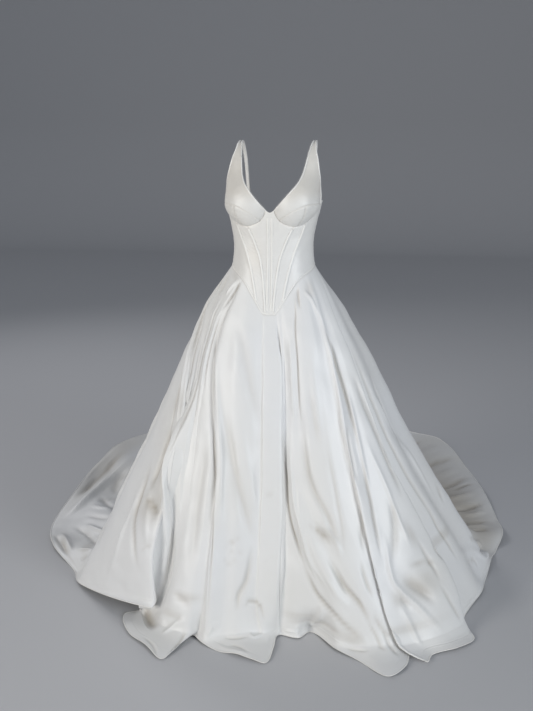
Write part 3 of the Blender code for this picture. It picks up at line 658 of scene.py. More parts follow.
@dataclass(frozen=True)
class FoldSurface:
    """The skirt as one sheet: smooth curves across its fold lines, each of which falls from waist to hem."""

    spring: float = 1.6
    fade: float = 0.085
    break_height: float = 0.024
    run_height: float = 0.009
    hem_height: float = 0.0032
    break_share: float = 0.4
    least_run: float = 0.012
    waist_gap: float = 0.0007
    fold_step: float = 0.04
    drop_step: float = 0.01

    def envelope(self, azimuth: np.ndarray, drop: np.ndarray) -> np.ndarray:
        """Radius of the cone that the crests lie on: it springs out below the waist, then falls straight.

        Args:
            azimuth: degrees round the axis.
            drop: how far down, 1 at the floor.

        Returns:
            The radius at each place.
        """
        turned = (np.asarray(azimuth, float) + 180) % 360 - 180
        base = read(FEET, "azimuth", "radius", turned)
        point = Figure().inside(waist_theta(turned), waist_height(turned))
        top = np.hypot(point[..., 0], point[..., 1]) + BODICE_WALL
        share = np.clip(drop, 0, 1)
        spring = share + self.spring * share * np.exp(-share / self.fade) * (1 - share)
        return top + (base - top) * spring

    def lines(self, at: np.ndarray) -> Points:
        """Falls of the fold lines: smooth curves through each one's places at the tables' drops.

        Args:
            at: drops to read them at.

        Returns:
            Places, a row for each fold line and a column for each drop.
        """
        found = []
        for fold in FOLDS:
            top = waist_height(fold.waist)
            turn = fold.hem - fold.foot
            run = (1 + self.break_share) / 2 * turn
            broken = fold.foot + self.break_share * turn
            steady = np.array([fold.waist, fold.hip, fold.knee, fold.foot, broken])
            azimuth = pchip(DROPS, [*steady, fold.foot + run, fold.hem], at)
            inward = np.array([0, fold.hip_in, fold.knee_in, fold.foot_in, fold.foot_in]) / 1000
            falling = self.envelope(steady, DROPS[:5]) - inward
            falling[4] = min(falling[4], fold.reach - self.least_run)
            radius = pchip(DROPS, [*falling, (falling[4] + fold.reach) / 2, fold.reach], at)
            low = self.break_height + fold.lift
            falls = top * (1 - DROPS[:4]) + low * DROPS[:4]
            run_out = [self.run_height + fold.lift, self.hem_height + fold.lift]
            height = pchip(DROPS, [*falls, low, *run_out], at)
            turned = np.radians(azimuth)
            found.append(np.stack([radius * np.sin(turned), -radius * np.cos(turned), height], -1))
        return np.array(found)

    def between(self, lines: Points, place: np.ndarray) -> Points:
        """Centripetal curve through the four fold lines nearest to each place: no loops in a tight fold.

        Args:
            lines: places of the fold lines, a row for each.
            place: fold lines counted from the back seam, with a share of the way to the next.

        Returns:
            A row of places for each of those.
        """
        start = np.floor(place).astype(int)
        share = (place - start)[:, None, None]
        near = [lines[(start + step) % len(lines)] for step in (-1, 0, 1, 2)]
        gaps = [np.linalg.norm(near[i + 1] - near[i], axis=-1, keepdims=True) for i in range(3)]
        spans = [np.sqrt(gap) + 1e-6 for gap in gaps]
        knots = [np.zeros_like(spans[0]), spans[0], spans[0] + spans[1], spans[0] + spans[1] + spans[2]]
        at = knots[1] + share * spans[1]

        def mixed(low: Points, high: Points, low_knot: np.ndarray, high_knot: np.ndarray) -> Points:
            """Straight mix of two curves between their knots."""
            return (low * (high_knot - at) + high * (at - low_knot)) / (high_knot - low_knot)

        first = [mixed(near[i], near[i + 1], knots[i], knots[i + 1]) for i in range(3)]
        second = [mixed(first[i], first[i + 1], knots[i], knots[i + 2]) for i in range(2)]
        return mixed(second[0], second[1], knots[1], knots[2])

    def grid(self, place: np.ndarray, at: np.ndarray) -> Points:
        """The skirt's outside.

        Args:
            place: fold lines counted from the back seam, with shares.
            at: drops.

        Returns:
            Places, a row for each drop and a column for each place.
        """
        found = np.swapaxes(self.between(self.lines(at), place), 0, 1).copy()
        found[:, :, 2] -= self.waist_gap * np.clip(1 - at / DROPS[1], 0, 1)[:, None]
        return found

    def outward(self, place: np.ndarray, at: np.ndarray) -> Points:
        """Unit normals of that outside: the cross product of short steps down it and across it.

        Args:
            place: fold lines counted from the back seam, with shares.
            at: drops.

        Returns:
            The normals.
        """
        across = self.grid(place + self.fold_step, at) - self.grid(place - self.fold_step, at)
        low, high = (np.clip(at + step, 0, DROPS[-1]) for step in (-self.drop_step, self.drop_step))
        return unit(np.cross(self.grid(place, high) - self.grid(place, low), across))


def fold_count(name: str) -> int:
    """A fold line's number, counted from the back seam."""
    return [fold.name for fold in FOLDS].index(name)


@dataclass
class Relief:
    """Creases pressed into a stretch of the skirt, as heights along its normals, with painted shade in their
    troughs and in shaded patches.

    Args:
        sheet: the skirt's surface.
        place: places of the stretch's columns.
        at: drops of its rows.
        fade: share of a crease's length over which it dies away at each end.
        steps: places that a crease's path is worked out at.
        tint_height: height in mm of a narrow trough that takes the full painted shade.
        tint_width: width in mm above which a trough takes less of it.
        least_tint: the least share that a wide trough takes.
        near_drops: how far from a crease's path, in drops, it is worked out.
        near_folds: the same, in folds.
    """

    sheet: FoldSurface
    place: np.ndarray
    at: np.ndarray
    fade: float = 0.35
    steps: int = 30
    tint_height: float = 7.0
    tint_width: float = 6.0
    least_tint: float = 0.15
    near_drops: float = 0.10
    near_folds: float = 1.6

    def __post_init__(self) -> None:
        """Works out the plain surface that the creases are pressed into."""
        self.points = self.sheet.grid(self.place, self.at)
        self.normals = self.sheet.outward(self.place, self.at)
        self.height = np.zeros(self.points.shape[:2])
        self.painted_shade = np.zeros(self.points.shape[:2])

    def press(self, crease: Crease) -> None:
        """Adds one crease: its height times a bell of the distance from its path, faded at both ends.

        Args:
            crease: the crease.
        """
        steps, knots = even(self.steps), even(len(crease.path))
        run, drops = (pchip(knots, values, steps) for values in zip(*crease.path))
        rows, columns = (
            np.flatnonzero((places >= path.min() - reach) & (places <= path.max() + reach))
            for places, path, reach in (
                (self.at, drops, self.near_drops),
                (self.place, run, self.near_folds),
            )
        )
        if not len(rows) or not len(columns):
            return
        order = np.arange(len(steps))
        path = self.sheet.grid(run, drops)[order, order]
        window = np.ix_(rows, columns)
        points = self.points[window]
        legs = path[1:] - path[:-1]
        away = points[..., None, :] - path[:-1]
        share = np.clip((away * legs).sum(-1) / np.maximum((legs**2).sum(-1), TINY), 0, 1)
        gap = away - share[..., None] * legs
        distance = np.linalg.norm(gap, axis=-1)
        nearest = distance.argmin(-1)[..., None]
        distance = np.take_along_axis(distance, nearest, -1)[..., 0]
        along = (nearest[..., 0] + np.take_along_axis(share, nearest, -1)[..., 0]) / len(legs)
        grow, fall = np.clip(along / self.fade, 0, 1), np.clip((1 - along) / self.fade, 0, 1)
        strength = (np.sin(grow * np.pi / 2) * np.sin(fall * np.pi / 2)) ** 1.5
        shape = strength * bell(distance, crease.width / 1000)
        self.height[window] += crease.form.value * crease.height / 1000 * shape
        # A trough is also painted darker: painted shade, most in narrow deep troughs
        if crease.form is Form.TROUGH:
            tint = np.clip(self.tint_width / crease.width, self.least_tint, 1)
            self.painted_shade[window] += crease.height / self.tint_height * tint * shape

    def shade(self, shade: Shade) -> None:
        """Paints shade round one place: a flat-topped bell in folds and drops that darkens the satin's
        colour.

        Args:
            shade: the place, its size and how deep it is.
        """
        folds = (self.place - shade.fold) / shade.folds
        drops = (self.at - shade.drop) / shade.drops
        self.painted_shade += shade.depth * np.exp(-np.abs(folds[None]) ** 2.5 - np.abs(drops[:, None]) ** 2.5)

    def pressed(self) -> Points:
        """The surface with its creases."""
        return self.points + self.normals * self.height[..., None]


def cloth_piece(
    name: str,
    points: Points,
    finish: bpy.types.Material,
    thickness: float,
    painted_shade: np.ndarray | None = None,
    closed: bool = False,
) -> bpy.types.Object:
    """Makes a sheet of cloth from a grid of points, with its thickness towards the inside.

    Args:
        name: the piece's name.
        points: grid in the part's own frame, rows up and columns to +X seen from outside.
        finish: its material.
        thickness: how thick the cloth is; 0 leaves the grid as it is.
        painted_shade: how much painted shade each point takes, most in shaded creases and patches, 0
            elsewhere, kept as an attribute.
        closed: whether the last column meets the first, as round a tube.

    Returns:
        The new object. Its UV map is in metres along the cloth.
    """
    rows, columns = points.shape[:2]
    index = np.arange(rows * columns).reshape(rows, columns)
    if closed:
        index = np.concatenate([index, index[:, :1]], 1)
    quads = np.stack([index[:-1, :-1], index[:-1, 1:], index[1:, 1:], index[1:, :-1]], -1).reshape(-1, 4)
    mesh = bpy.data.meshes.new(name)
    mesh.vertices.add(rows * columns)
    mesh.vertices.foreach_set("co", np.ascontiguousarray(points, np.float32).ravel())
    mesh.loops.add(quads.size)
    mesh.loops.foreach_set("vertex_index", quads.ravel().astype(np.int32))
    mesh.polygons.add(len(quads))
    mesh.polygons.foreach_set("loop_start", np.arange(0, quads.size, 4, dtype=np.int32))
    mesh.update(calc_edges=True)
    mesh.shade_smooth()
    ends = np.empty(2 * len(mesh.edges), np.int32)
    mesh.edges.foreach_get("vertices", ends)
    row, column = np.divmod(ends.reshape(-1, 2), columns)
    rim = (row == 0).all(1) | (row == rows - 1).all(1)
    if not closed:
        rim |= (column == 0).all(1) | (column == columns - 1).all(1)
    mesh.attributes.new("sharp_edge", "BOOLEAN", "EDGE").data.foreach_set("value", rim)
    across, up = lengths(points, 1), lengths(points, 0)
    places = np.stack([across, up], -1).reshape(-1, 2)
    corners = places[quads.ravel()].astype(np.float32).ravel()
    mesh.uv_layers.new(name="cloth").data.foreach_set("uv", corners)
    depth = np.zeros((rows, columns)) if painted_shade is None else painted_shade
    depths = mesh.attributes.new("painted_shade", "FLOAT", "POINT")
    depths.data.foreach_set("value", depth.astype(np.float32).ravel())
    mesh.materials.append(finish)
    made = bpy.data.objects.new(name, mesh)
    bpy.context.scene.collection.objects.link(made)
    if thickness:
        wall = made.modifiers.new("thickness", "SOLIDIFY")
        wall.thickness, wall.offset = thickness, -1.0
    return made


def tube(path: Points, out: Points, wide: float, high: float, sides: int = 10) -> Points:
    """Places of a flattened tube along a path: an ellipse in the plane square to the path.

    Args:
        path: its middle line.
        out: the direction away from the cloth at each place of the path.
        wide: half its width along the cloth.
        high: half its height off the cloth.
        sides: points round it.

    Returns:
        A grid, a row for each place of the path, with its two end rows drawn together.
    """
    run = unit(np.gradient(path, axis=0))
    up = unit(out - run * (out * run).sum(-1, keepdims=True))
    level = np.cross(up, run)
    turn = np.arange(sides) * 2 * np.pi / sides
    across, off = (wide * np.cos(turn))[:, None], (high * np.sin(turn))[:, None]
    ring = level[:, None] * across + up[:, None] * off
    size = np.ones(len(path))
    size[[0, -1]] = TUBE_END
    return path[:, None] + ring * size[:, None, None]


# Grains a metre of the satin's noises, the part of the slow one that its colour drifts over, and how much
# the slubs and the threads across change the painted shade, the roughness and the height
DRIFT_GRAINS = (2.4, 2.4, 1.6)
DRIFT_RANGE = (0.38, 0.66)
SLUB_GRAINS = (260.0, 9.0, 1.0)
WARP_GRAINS = (2600.0, 160.0, 1.0)
WEFT_GRAINS = (160.0, 2600.0, 1.0)
SHADE_LEAST, SHADE_SLUBS = 0.55, 0.35
ROUGH_SLUBS, HIGH_SLUBS = 0.16, 0.6
WEFT_SHARE = 0.5


def weave_group() -> bpy.types.NodeTree:
    """Makes the shared satin effect: slow drift of colour, painted shade in creases and patches, long slubs
    and fine threads.

    Returns:
        The node group.
    """
    group = bpy.data.node_groups.new("satin_weave", "ShaderNodeTree")
    for name, kind in (
        ("Colour", "NodeSocketColor"),
        ("Warm Colour", "NodeSocketColor"),
        ("Painted Shade Colour", "NodeSocketColor"),
        ("Painted Shade", "NodeSocketFloat"),
        ("Roughness", "NodeSocketFloat"),
        ("Threads", "NodeSocketFloat"),
    ):
        group.interface.new_socket(name=name, in_out="INPUT", socket_type=kind)
    for name, kind in (
        ("Colour", "NodeSocketColor"),
        ("Roughness", "NodeSocketFloat"),
        ("Height", "NodeSocketFloat"),
    ):
        group.interface.new_socket(name=name, in_out="OUTPUT", socket_type=kind)
    nodes, links = group.nodes, group.links
    given, result = nodes.new("NodeGroupInput"), nodes.new("NodeGroupOutput")
    place = nodes.new("ShaderNodeTexCoord")

    def noise(source: str, scale: Triple, detail: float) -> Socket:
        """Reads noise on stretched coordinates.

        Args:
            source: which coordinates.
            scale: how many grains a metre along each.
            detail: layers of finer noise.

        Returns:
            The noise, from 0 to 1.
        """
        stretch, texture = nodes.new("ShaderNodeMapping"), nodes.new("ShaderNodeTexNoise")
        stretch.inputs["Scale"].default_value = scale
        texture.inputs["Scale"].default_value = 1.0
        texture.inputs["Detail"].default_value = detail
        links.new(place.outputs[source], stretch.inputs["Vector"])
        links.new(stretch.outputs["Vector"], texture.inputs["Vector"])
        return texture.outputs["Fac"]

    def math(operation: str, first: Socket | float, second: Socket | float) -> Socket:
        """Does one sum.

        Args:
            operation: which sum.
            first: a value or a socket.
            second: a value or a socket.

        Returns:
            The result.
        """
        node = nodes.new("ShaderNodeMath")
        node.operation = operation
        for socket, value in zip(node.inputs, (first, second)):
            if isinstance(value, (int, float)):
                socket.default_value = value
            else:
                links.new(value, socket)
        return node.outputs[0]

    def mixed(factor: Socket, first: Socket, second: Socket) -> Socket:
        """Mixes two colours.

        Args:
            factor: the second one's share.
            first: a colour.
            second: a colour.

        Returns:
            The mix.
        """
        node = nodes.new("ShaderNodeMix")
        node.data_type = "RGBA"
        links.new(factor, node.inputs["Factor"])
        links.new(first, node.inputs["A"])
        links.new(second, node.inputs["B"])
        return node.outputs["Result"]

    drift = nodes.new("ShaderNodeMapRange")
    drift.inputs["From Min"].default_value, drift.inputs["From Max"].default_value = DRIFT_RANGE
    links.new(noise("Object", DRIFT_GRAINS, 2.0), drift.inputs["Value"])
    slubs = noise("UV", SLUB_GRAINS, 3.0)
    warp, weft = noise("UV", WARP_GRAINS, 1.0), noise("UV", WEFT_GRAINS, 1.0)
    colour = mixed(drift.outputs["Result"], given.outputs["Colour"], given.outputs["Warm Colour"])
    # Painted shade: the colour is mixed towards the shade colour as far as the point's painted shade reaches,
    # more along the slubs
    share = math("ADD", SHADE_LEAST, math("MULTIPLY", slubs, SHADE_SLUBS))
    deep = math("MULTIPLY", given.outputs["Painted Shade"], share)
    links.new(mixed(deep, colour, given.outputs["Painted Shade Colour"]), result.inputs["Colour"])
    uneven = math("MULTIPLY", math("SUBTRACT", slubs, 0.5), ROUGH_SLUBS)
    links.new(math("ADD", given.outputs["Roughness"], uneven), result.inputs["Roughness"])
    both = math("ADD", warp, math("MULTIPLY", weft, WEFT_SHARE))
    threads = math("MULTIPLY", both, given.outputs["Threads"])
    links.new(math("ADD", threads, math("MULTIPLY", slubs, HIGH_SLUBS)), result.inputs["Height"])
    return group


@dataclass(frozen=True)
class Satin:
    """A satin finish: its colours, its gloss and how far its threads stand."""

    name: str
    colour: Triple
    warm: Triple
    # The colour that painted shade darkens the satin towards
    painted_shade: Triple
    roughness: float
    threads: float
    bump: float
    sheen: float
    bump_distance: float = 0.0004
    sheen_roughness: float = 0.45
    specular: float = 0.42

    def build(self, weave: bpy.types.NodeTree) -> bpy.types.Material:
        """Makes the material.

        Args:
            weave: the shared satin effect.

        Returns:
            The material.
        """
        material = bpy.data.materials.new(self.name)
        material.use_nodes = True
        nodes, links = material.node_tree.nodes, material.node_tree.links
        shader = nodes["Principled BSDF"]
        effect, bump = nodes.new("ShaderNodeGroup"), nodes.new("ShaderNodeBump")
        effect.node_tree = weave
        colours = {"Colour": self.colour, "Warm Colour": self.warm, "Painted Shade Colour": self.painted_shade}
        for name, colour in colours.items():
            effect.inputs[name].default_value = (*colour, 1)
        effect.inputs["Roughness"].default_value = self.roughness
        effect.inputs["Threads"].default_value = self.threads
        # The cloth's attribute says how much painted shade each point takes
        depth = nodes.new("ShaderNodeAttribute")
        depth.attribute_name = "painted_shade"
        links.new(depth.outputs["Fac"], effect.inputs["Painted Shade"])
        links.new(effect.outputs["Colour"], shader.inputs["Base Color"])
        links.new(effect.outputs["Roughness"], shader.inputs["Roughness"])
        bump.inputs["Strength"].default_value = self.bump
        bump.inputs["Distance"].default_value = self.bump_distance
        links.new(effect.outputs["Height"], bump.inputs["Height"])
        links.new(bump.outputs["Normal"], shader.inputs["Normal"])
        shader.inputs["Sheen Weight"].default_value = self.sheen
        shader.inputs["Sheen Roughness"].default_value = self.sheen_roughness
        shader.inputs["Specular IOR Level"].default_value = self.specular
        material.diffuse_color = (*self.colour, 1)
        return material


# Each satin's third colour is its painted shade colour, for creases, seams, patches and the skirt's waist
SATIN = Satin(
    "heavy_satin", (0.76, 0.76, 0.755), (0.76, 0.75, 0.72), (0.48, 0.445, 0.39), 0.42, 0.8, 0.14, 0.10
)
BODICE_SATIN = Satin(
    "bodice_satin", (0.76, 0.755, 0.74), (0.755, 0.735, 0.69), (0.64, 0.585, 0.50), 0.40, 0.8, 0.14, 0.10
)
# The bias satin of the rolled edges, channels and hem is lighter than the satin: a painted highlight for the
# light that the raised edges catch
BIAS_SATIN = Satin(
    "bias_strip", (0.84, 0.83, 0.80), (0.83, 0.81, 0.76), (0.70, 0.63, 0.53), 0.38, 1.0, 0.20, 0.10
)
THREAD = Satin(
    "stitching", (0.80, 0.78, 0.73), (0.78, 0.75, 0.69), (0.66, 0.58, 0.47), 0.50, 1.0, 0.25, 0.0
)


def ride(piece: bpy.types.Object, slot: str, *nodes: str) -> bpy.types.Object:
    """Fixes a finished piece to the dress and reports it.

    Args:
        piece: the piece.
        slot: not used.
        *nodes: the solids that it stands for.

    Returns:
        The piece.
    """
    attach(piece, "root")
    if nodes:
        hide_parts(*nodes)
    LOG.info("%s: %d points", piece.name, len(piece.data.vertices))
    return piece


class Border(Enum):
    """A border of a grid: the axis that leads away from it, and whether it is the last row or column."""

    LEFT = (1, False)
    RIGHT = (1, True)
    BOTTOM = (0, False)
    TOP = (0, True)


class Side(Enum):
    """A side of the wearer, by the letter that the names of its pieces end with."""

    LEFT = "L"
    RIGHT = "R"


def on_side(points: Points, side: Side) -> Points:
    """A grid of the wearer's left where it is, or mirrored to the other side."""
    return points if side is Side.LEFT else mirrored(points)


def border_distance(points: Points, border: Border) -> np.ndarray:
    """Distance from one of a grid's borders, along its rows or columns.

    Args:
        points: the grid.
        border: which border.

    Returns:
        The distance of each place.
    """
    axis, last = border.value
    run = lengths(points, axis)
    return np.take(run, [-1], axis) - run if last else run


class Piece(NamedTuple):
    """A piece of the bodice: its seams, whether it has the waist's lip, and the flat cut of its cloth."""

    name: str
    seams: tuple[Border, ...]
    lip: bool
    flat: Pair
    area: float


PIECES = [
    Piece("bodice_front_centre", (Border.RIGHT, Border.TOP), True, (0.085, 0.315), 0.0098),
    Piece("bodice_front_side", (Border.LEFT, Border.RIGHT, Border.TOP), True, (0.05, 0.275), 0.0092),
    Piece("bodice_side", (Border.LEFT, Border.RIGHT, Border.TOP), True, (0.16, 0.255), 0.0195),
    Piece("bodice_side_back", (Border.LEFT, Border.RIGHT), True, (0.093, 0.20), 0.0142),
    Piece("bodice_back", (Border.LEFT, Border.RIGHT), True, (0.115, 0.17), 0.0163),
    Piece("cup_lower_inner", tuple(Border), False, (0.092, 0.083), 0.0038),
    Piece("cup_lower_outer", tuple(Border), False, (0.111, 0.084), 0.0058),
    Piece("cup_upper", (Border.BOTTOM,), False, (0.17, 0.31), 0.0178),
]


@dataclass
class Bodice:
    """The boned bodice: panels, cups that run on into the straps, boning channels, edges and stitching."""

    satin: bpy.types.Material
    bias: bpy.types.Material
    thread: bpy.types.Material
    figure: Figure = Figure()
    rows: int = 84
    columns: int = 30
    cup_rows: int = 30
    upper_rows: int = 88
    cup_tip: float = 0.030
    thickness: float = 0.0016
    seam_dip: float = 0.0008
    seam_width: float = 0.0020
    seam_crest: float = 0.00035
    seam_shade: float = 0.38
    crest_place: float = 0.0060
    crest_width: float = 0.0044
    lip_height: float = 0.0014
    lip_width: float = 0.0045
    lip_groove: float = 0.0016
    lip_groove_width: float = 0.0007
    slack: float = 0.0005
    wide_wave: float = 0.075
    narrow_wave: float = 0.028
    narrow_share: float = 0.4
    pucker: float = 0.00028
    pucker_wave: float = 0.06
    pucker_pitch: float = 0.0120
    pucker_place: float = 0.0088
    pucker_reach: float = 0.0110
    channel_half_width: float = 0.0034
    channel_height: float = 0.0017
    channel_base: float = 0.0008
    channel_fullness: float = 2.6
    channel_taper: float = 0.002
    channel_cloth: float = 0.0009
    centre_lift: float = 0.6
    centre_channels: float = 0.0063
    centre_inset: float = 0.003
    binding_half_width: float = 0.0024
    binding_height: float = 0.0021
    strap_rows: int = 90
    strap_half_width: float = 0.0058
    strap_rim: float = 0.0007
    rim_place: float = 0.82
    rim_width: float = 0.2
    strap_cloth: float = 0.0018
    strap_twist: float = 0.55
    strap_tuck: float = 0.012
    stitch_length: float = 0.0026
    stitch_pitch: float = 0.0034
    stitch_half: float = 0.00022
    stitch_lift: float = 0.0004
    channel_stitches: float = 0.62
    channel_stitch_lift: float = 0.001762
    cup_stitches: float = 0.0036
    wire_stitches: float = 0.0052
    wire_from: float = 0.0165
    neck_stitches: float = 0.0042
    neck_stitch_lift: float = 0.0003
    # A soft patch of painted shade on the wearer's right front, below the bust: its centre, size, stretch and
    # depth
    shaded_spot: Triple = (-0.045, 0.0, 1.154)
    shaded_spot_radius: float = 0.030
    shaded_spot_stretch: float = 0.6
    shaded_spot_depth: float = 0.42
    # The upper cups and straps get painted shade, as they face up: from this height, over this rise, this
    # deep
    upper_from: float = 1.318
    upper_over: float = 0.035
    upper_shade_depth: float = 0.55

    def upright(self, edge: Edge, count: int) -> Points:
        """Runs a seam straight up from the waist to a place on the top edge.

        Args:
            edge: that place.
            count: how many places.

        Returns:
            The seam, as (theta, climb) places.
        """
        theta = np.radians(edge.angle)
        places = [(theta, waist_climb(theta)), (theta, WAISTLINE), (theta, edge.height)]
        return self.figure.line(places, count)

    def cut_seam(self, seam: Sequence[Seam], count: int) -> Points:
        """Cuts off a seam that runs down past the waist, where it meets it.

        Args:
            seam: the seam.
            count: how many places.

        Returns:
            What is above the waist, as (theta, climb) places.
        """
        climb = np.linspace(seam[0].height, seam[-1].height, 200)
        x = pchip([place.height for place in seam], [place.x for place in seam], climb)
        theta = self.figure.angle_at(x, climb)
        above = climb >= waist_climb(theta)
        return self.figure.resampled(np.stack([theta[above], climb[above]], -1), count)

    def waist_line(self, first: float, last: float, count: int = 0) -> Points:
        """The waist seam between two angles."""
        theta = np.linspace(first, last, count or self.columns)
        return np.stack([theta, waist_climb(theta)], -1)

    def top_line(self, *edges: Edge) -> Points:
        """A stretch of the top edge through the given places."""
        return self.figure.line([(np.radians(edge.angle), edge.height) for edge in edges], self.columns)

    def grids(self) -> dict[str, Points]:
        """Fills the outline of each piece of the wearer's left.

        Returns:
            Grids of (theta, climb) by name.
        """
        figure, rows, columns = self.figure, self.rows, self.columns
        inner, outer = self.cut_seam(INNER_SEAM, rows), self.cut_seam(OUTER_SEAM, rows)
        centre = figure.line([(0, waist_climb(0.0)), (0, WAISTLINE), (0, NOTCH[0].height)], rows)
        side = np.radians(SIDE_TOP.angle)
        wire = figure.stretch(UNDERWIRE, UNDERWIRE[0].x, INNER_SEAM[-1].x, 80)
        notch = figure.front_line(NOTCH, 30)
        wire_end = figure.stretch(UNDERWIRE, OUTER_SEAM[-1].x, UNDERWIRE[-1].x, 40)
        underarm = figure.line([wire_end[-1], *self.top_line(UNDERARM, SIDE_TOP)[[0, -1]]], 40)
        grids = {
            "bodice_front_centre": patch(
                centre,
                inner,
                self.waist_line(0, inner[0, 0]),
                figure.resampled(np.concatenate([notch, wire[1:]]), columns),
            ),
            "bodice_front_side": patch(
                inner,
                outer,
                self.waist_line(inner[0, 0], outer[0, 0]),
                figure.stretch(UNDERWIRE, INNER_SEAM[-1].x, OUTER_SEAM[-1].x, columns),
            ),
            "bodice_side": patch(
                outer,
                self.upright(SIDE_TOP, rows),
                self.waist_line(outer[0, 0], side),
                figure.resampled(np.concatenate([wire_end, underarm[1:]]), columns),
            ),
        }
        for name, first, middle, last in (
            ("bodice_side_back", SIDE_TOP, SIDE_BACK_MID, SIDE_BACK_TOP),
            ("bodice_back", SIDE_BACK_TOP, BACK_MID, BACK_TOP),
        ):
            grids[name] = patch(
                self.upright(first, rows),
                self.upright(last, rows),
                self.waist_line(np.radians(first.angle), np.radians(last.angle)),
                self.top_line(first, middle, last),
            )
        return {**grids, **self.cup_grids()}

    def cup_grids(self) -> dict[str, Points]:
        """Fills the pieces of the wearer's left cup; the upper one runs on into the strap's front half.

        Returns:
            Grids of (theta, climb) by name.
        """
        figure, columns, rows = self.figure, self.columns, self.cup_rows
        parting, parting_top = CUP_UPRIGHT[0].x, CUP_UPRIGHT[-1].x
        low_in = figure.stretch(UNDERWIRE, self.cup_tip, parting, columns)
        low_out = figure.stretch(UNDERWIRE, parting, UNDERWIRE[-1].x, columns)
        seam_in = figure.stretch(CUP_SEAM, self.cup_tip, parting_top, columns)
        seam_out = figure.stretch(CUP_SEAM, parting_top, CUP_SEAM[-1].x, columns)
        middle = figure.front_line(CUP_UPRIGHT, 5)[2]
        upright = figure.line([low_in[-1], middle, seam_in[-1]], rows)
        start = figure.line([low_in[0], seam_in[0]], rows)
        end = figure.line([low_out[-1], seam_out[-1]], rows)
        beside = figure.stretch(UNDERWIRE, UNDERWIRE[0].x, CUP_SEAM[0].x, 40)
        lower = figure.resampled(np.concatenate([beside, figure.front_line(CUP_SEAM, 160)]), 2 * columns)
        shoulder = [Seam(NECKLINE[-1].x, SHOULDER_CLIMB), Seam(ARMHOLE[-1].x, SHOULDER_CLIMB)]
        neck = figure.front_line(NECKLINE, self.upper_rows)
        arm = figure.front_line(ARMHOLE, self.upper_rows)
        return {
            "cup_lower_inner": patch(start, upright, low_in, seam_in),
            "cup_lower_outer": patch(upright, end, low_out, seam_out),
            "cup_upper": patch(neck, arm, lower, figure.front_line(shoulder, 2 * columns)),
        }

    def relief(self, piece: Piece, points: Points) -> tuple[np.ndarray, np.ndarray]:
        """Heights off a piece's plain surface: seams dip and crest, the waist lifts, stitching puckers.

        Args:
            piece: which piece it is.
            points: its plain outer surface.

        Returns:
            The heights, and how much painted shade each point takes along its seams.
        """
        height, painted_shade = np.zeros(points.shape[:2]), np.zeros(points.shape[:2])
        for number, border in enumerate(piece.seams):
            distance = border_distance(points, border)
            along = lengths(points, 1 - border.value[0])
            near = bell(distance, self.seam_width)
            beside = bell(distance - self.crest_place, self.crest_width)
            height += self.seam_crest * beside - self.seam_dip * near
            # Painted shade darkens the line of each seam
            painted_shade = np.maximum(painted_shade, self.seam_shade * near)
            phase = 2 * ripple(points, self.pucker_wave, 11 + number)
            wave = np.sin(2 * np.pi * along / self.pucker_pitch + phase)
            height += self.pucker * wave * bell(distance - self.pucker_place, self.pucker_reach)
        if piece.lip:
            distance = border_distance(points, Border.BOTTOM)
            height += self.lip_height * bell(distance, self.lip_width)
            height -= self.lip_groove * bell(distance, self.lip_groove_width)
        narrow = self.narrow_share * ripple(points, self.narrow_wave, 6)
        height += self.slack * (ripple(points, self.wide_wave, 5) + narrow)
        return height, painted_shade

    def bodice_painted_shade(self, points: Points) -> np.ndarray:
        """Painted shade apart from the seams: one shaded patch on the wearer's right front, and the upper
        cups and straps.

        Args:
            points: a piece's outer surface.

        Returns:
            How much painted shade each point takes.
        """
        # A soft patch of painted shade on the wearer's right front
        aside, above = (points[..., i] - self.shaded_spot[i] for i in (0, 2))
        shaded_spot = bell(np.hypot(aside, self.shaded_spot_stretch * above), self.shaded_spot_radius)
        # The upper cups and straps are painted darker, as they face up: painted shade
        upper = np.clip((points[..., 2] - self.upper_from) / self.upper_over, 0, 1)
        return np.maximum(self.shaded_spot_depth * shaded_spot, self.upper_shade_depth * upper)

    def build_pieces(self) -> dict[str, bpy.types.Object]:
        """Builds every cloth piece of the bodice on both sides.

        Returns:
            The pieces by name.
        """
        made = {}
        grids = self.grids()
        for piece in PIECES:
            grid = grids[piece.name]
            theta, climb = grid[..., 0], grid[..., 1]
            points, normals = self.figure.outside(theta, climb), self.figure.outward(theta, climb)
            height, painted_shade = self.relief(piece, points)
            formed = points + normals * height[..., None]
            for side in Side:
                shown = on_side(formed, side)
                depth = painted_shade if side is Side.LEFT else painted_shade[:, ::-1]
                depth = np.maximum(depth, self.bodice_painted_shade(shown))
                node = f"{piece.name}_{side.value}"
                cloth = cloth_piece(f"cloth_{node}", leaned(shown), self.satin, self.thickness, depth)
                made[node] = ride(cloth, "satin", node)
        return made

    def seam_paths(self) -> dict[str, Points]:
        """Runs the boning channels of the wearer's left down the seams and beside the centre line.

        Returns:
            Lines of (theta, climb) places by name.
        """
        low, high = waist_climb(0.0) + self.centre_inset, NOTCH[0].height - self.centre_inset
        x, climb = np.full(self.rows, self.centre_channels), np.linspace(low, high, self.rows)
        return {
            "centre": np.stack([self.figure.angle_at(x, climb), climb], -1),
            "inner": self.cut_seam(INNER_SEAM, self.rows),
            "outer": self.cut_seam(OUTER_SEAM, self.rows),
        }

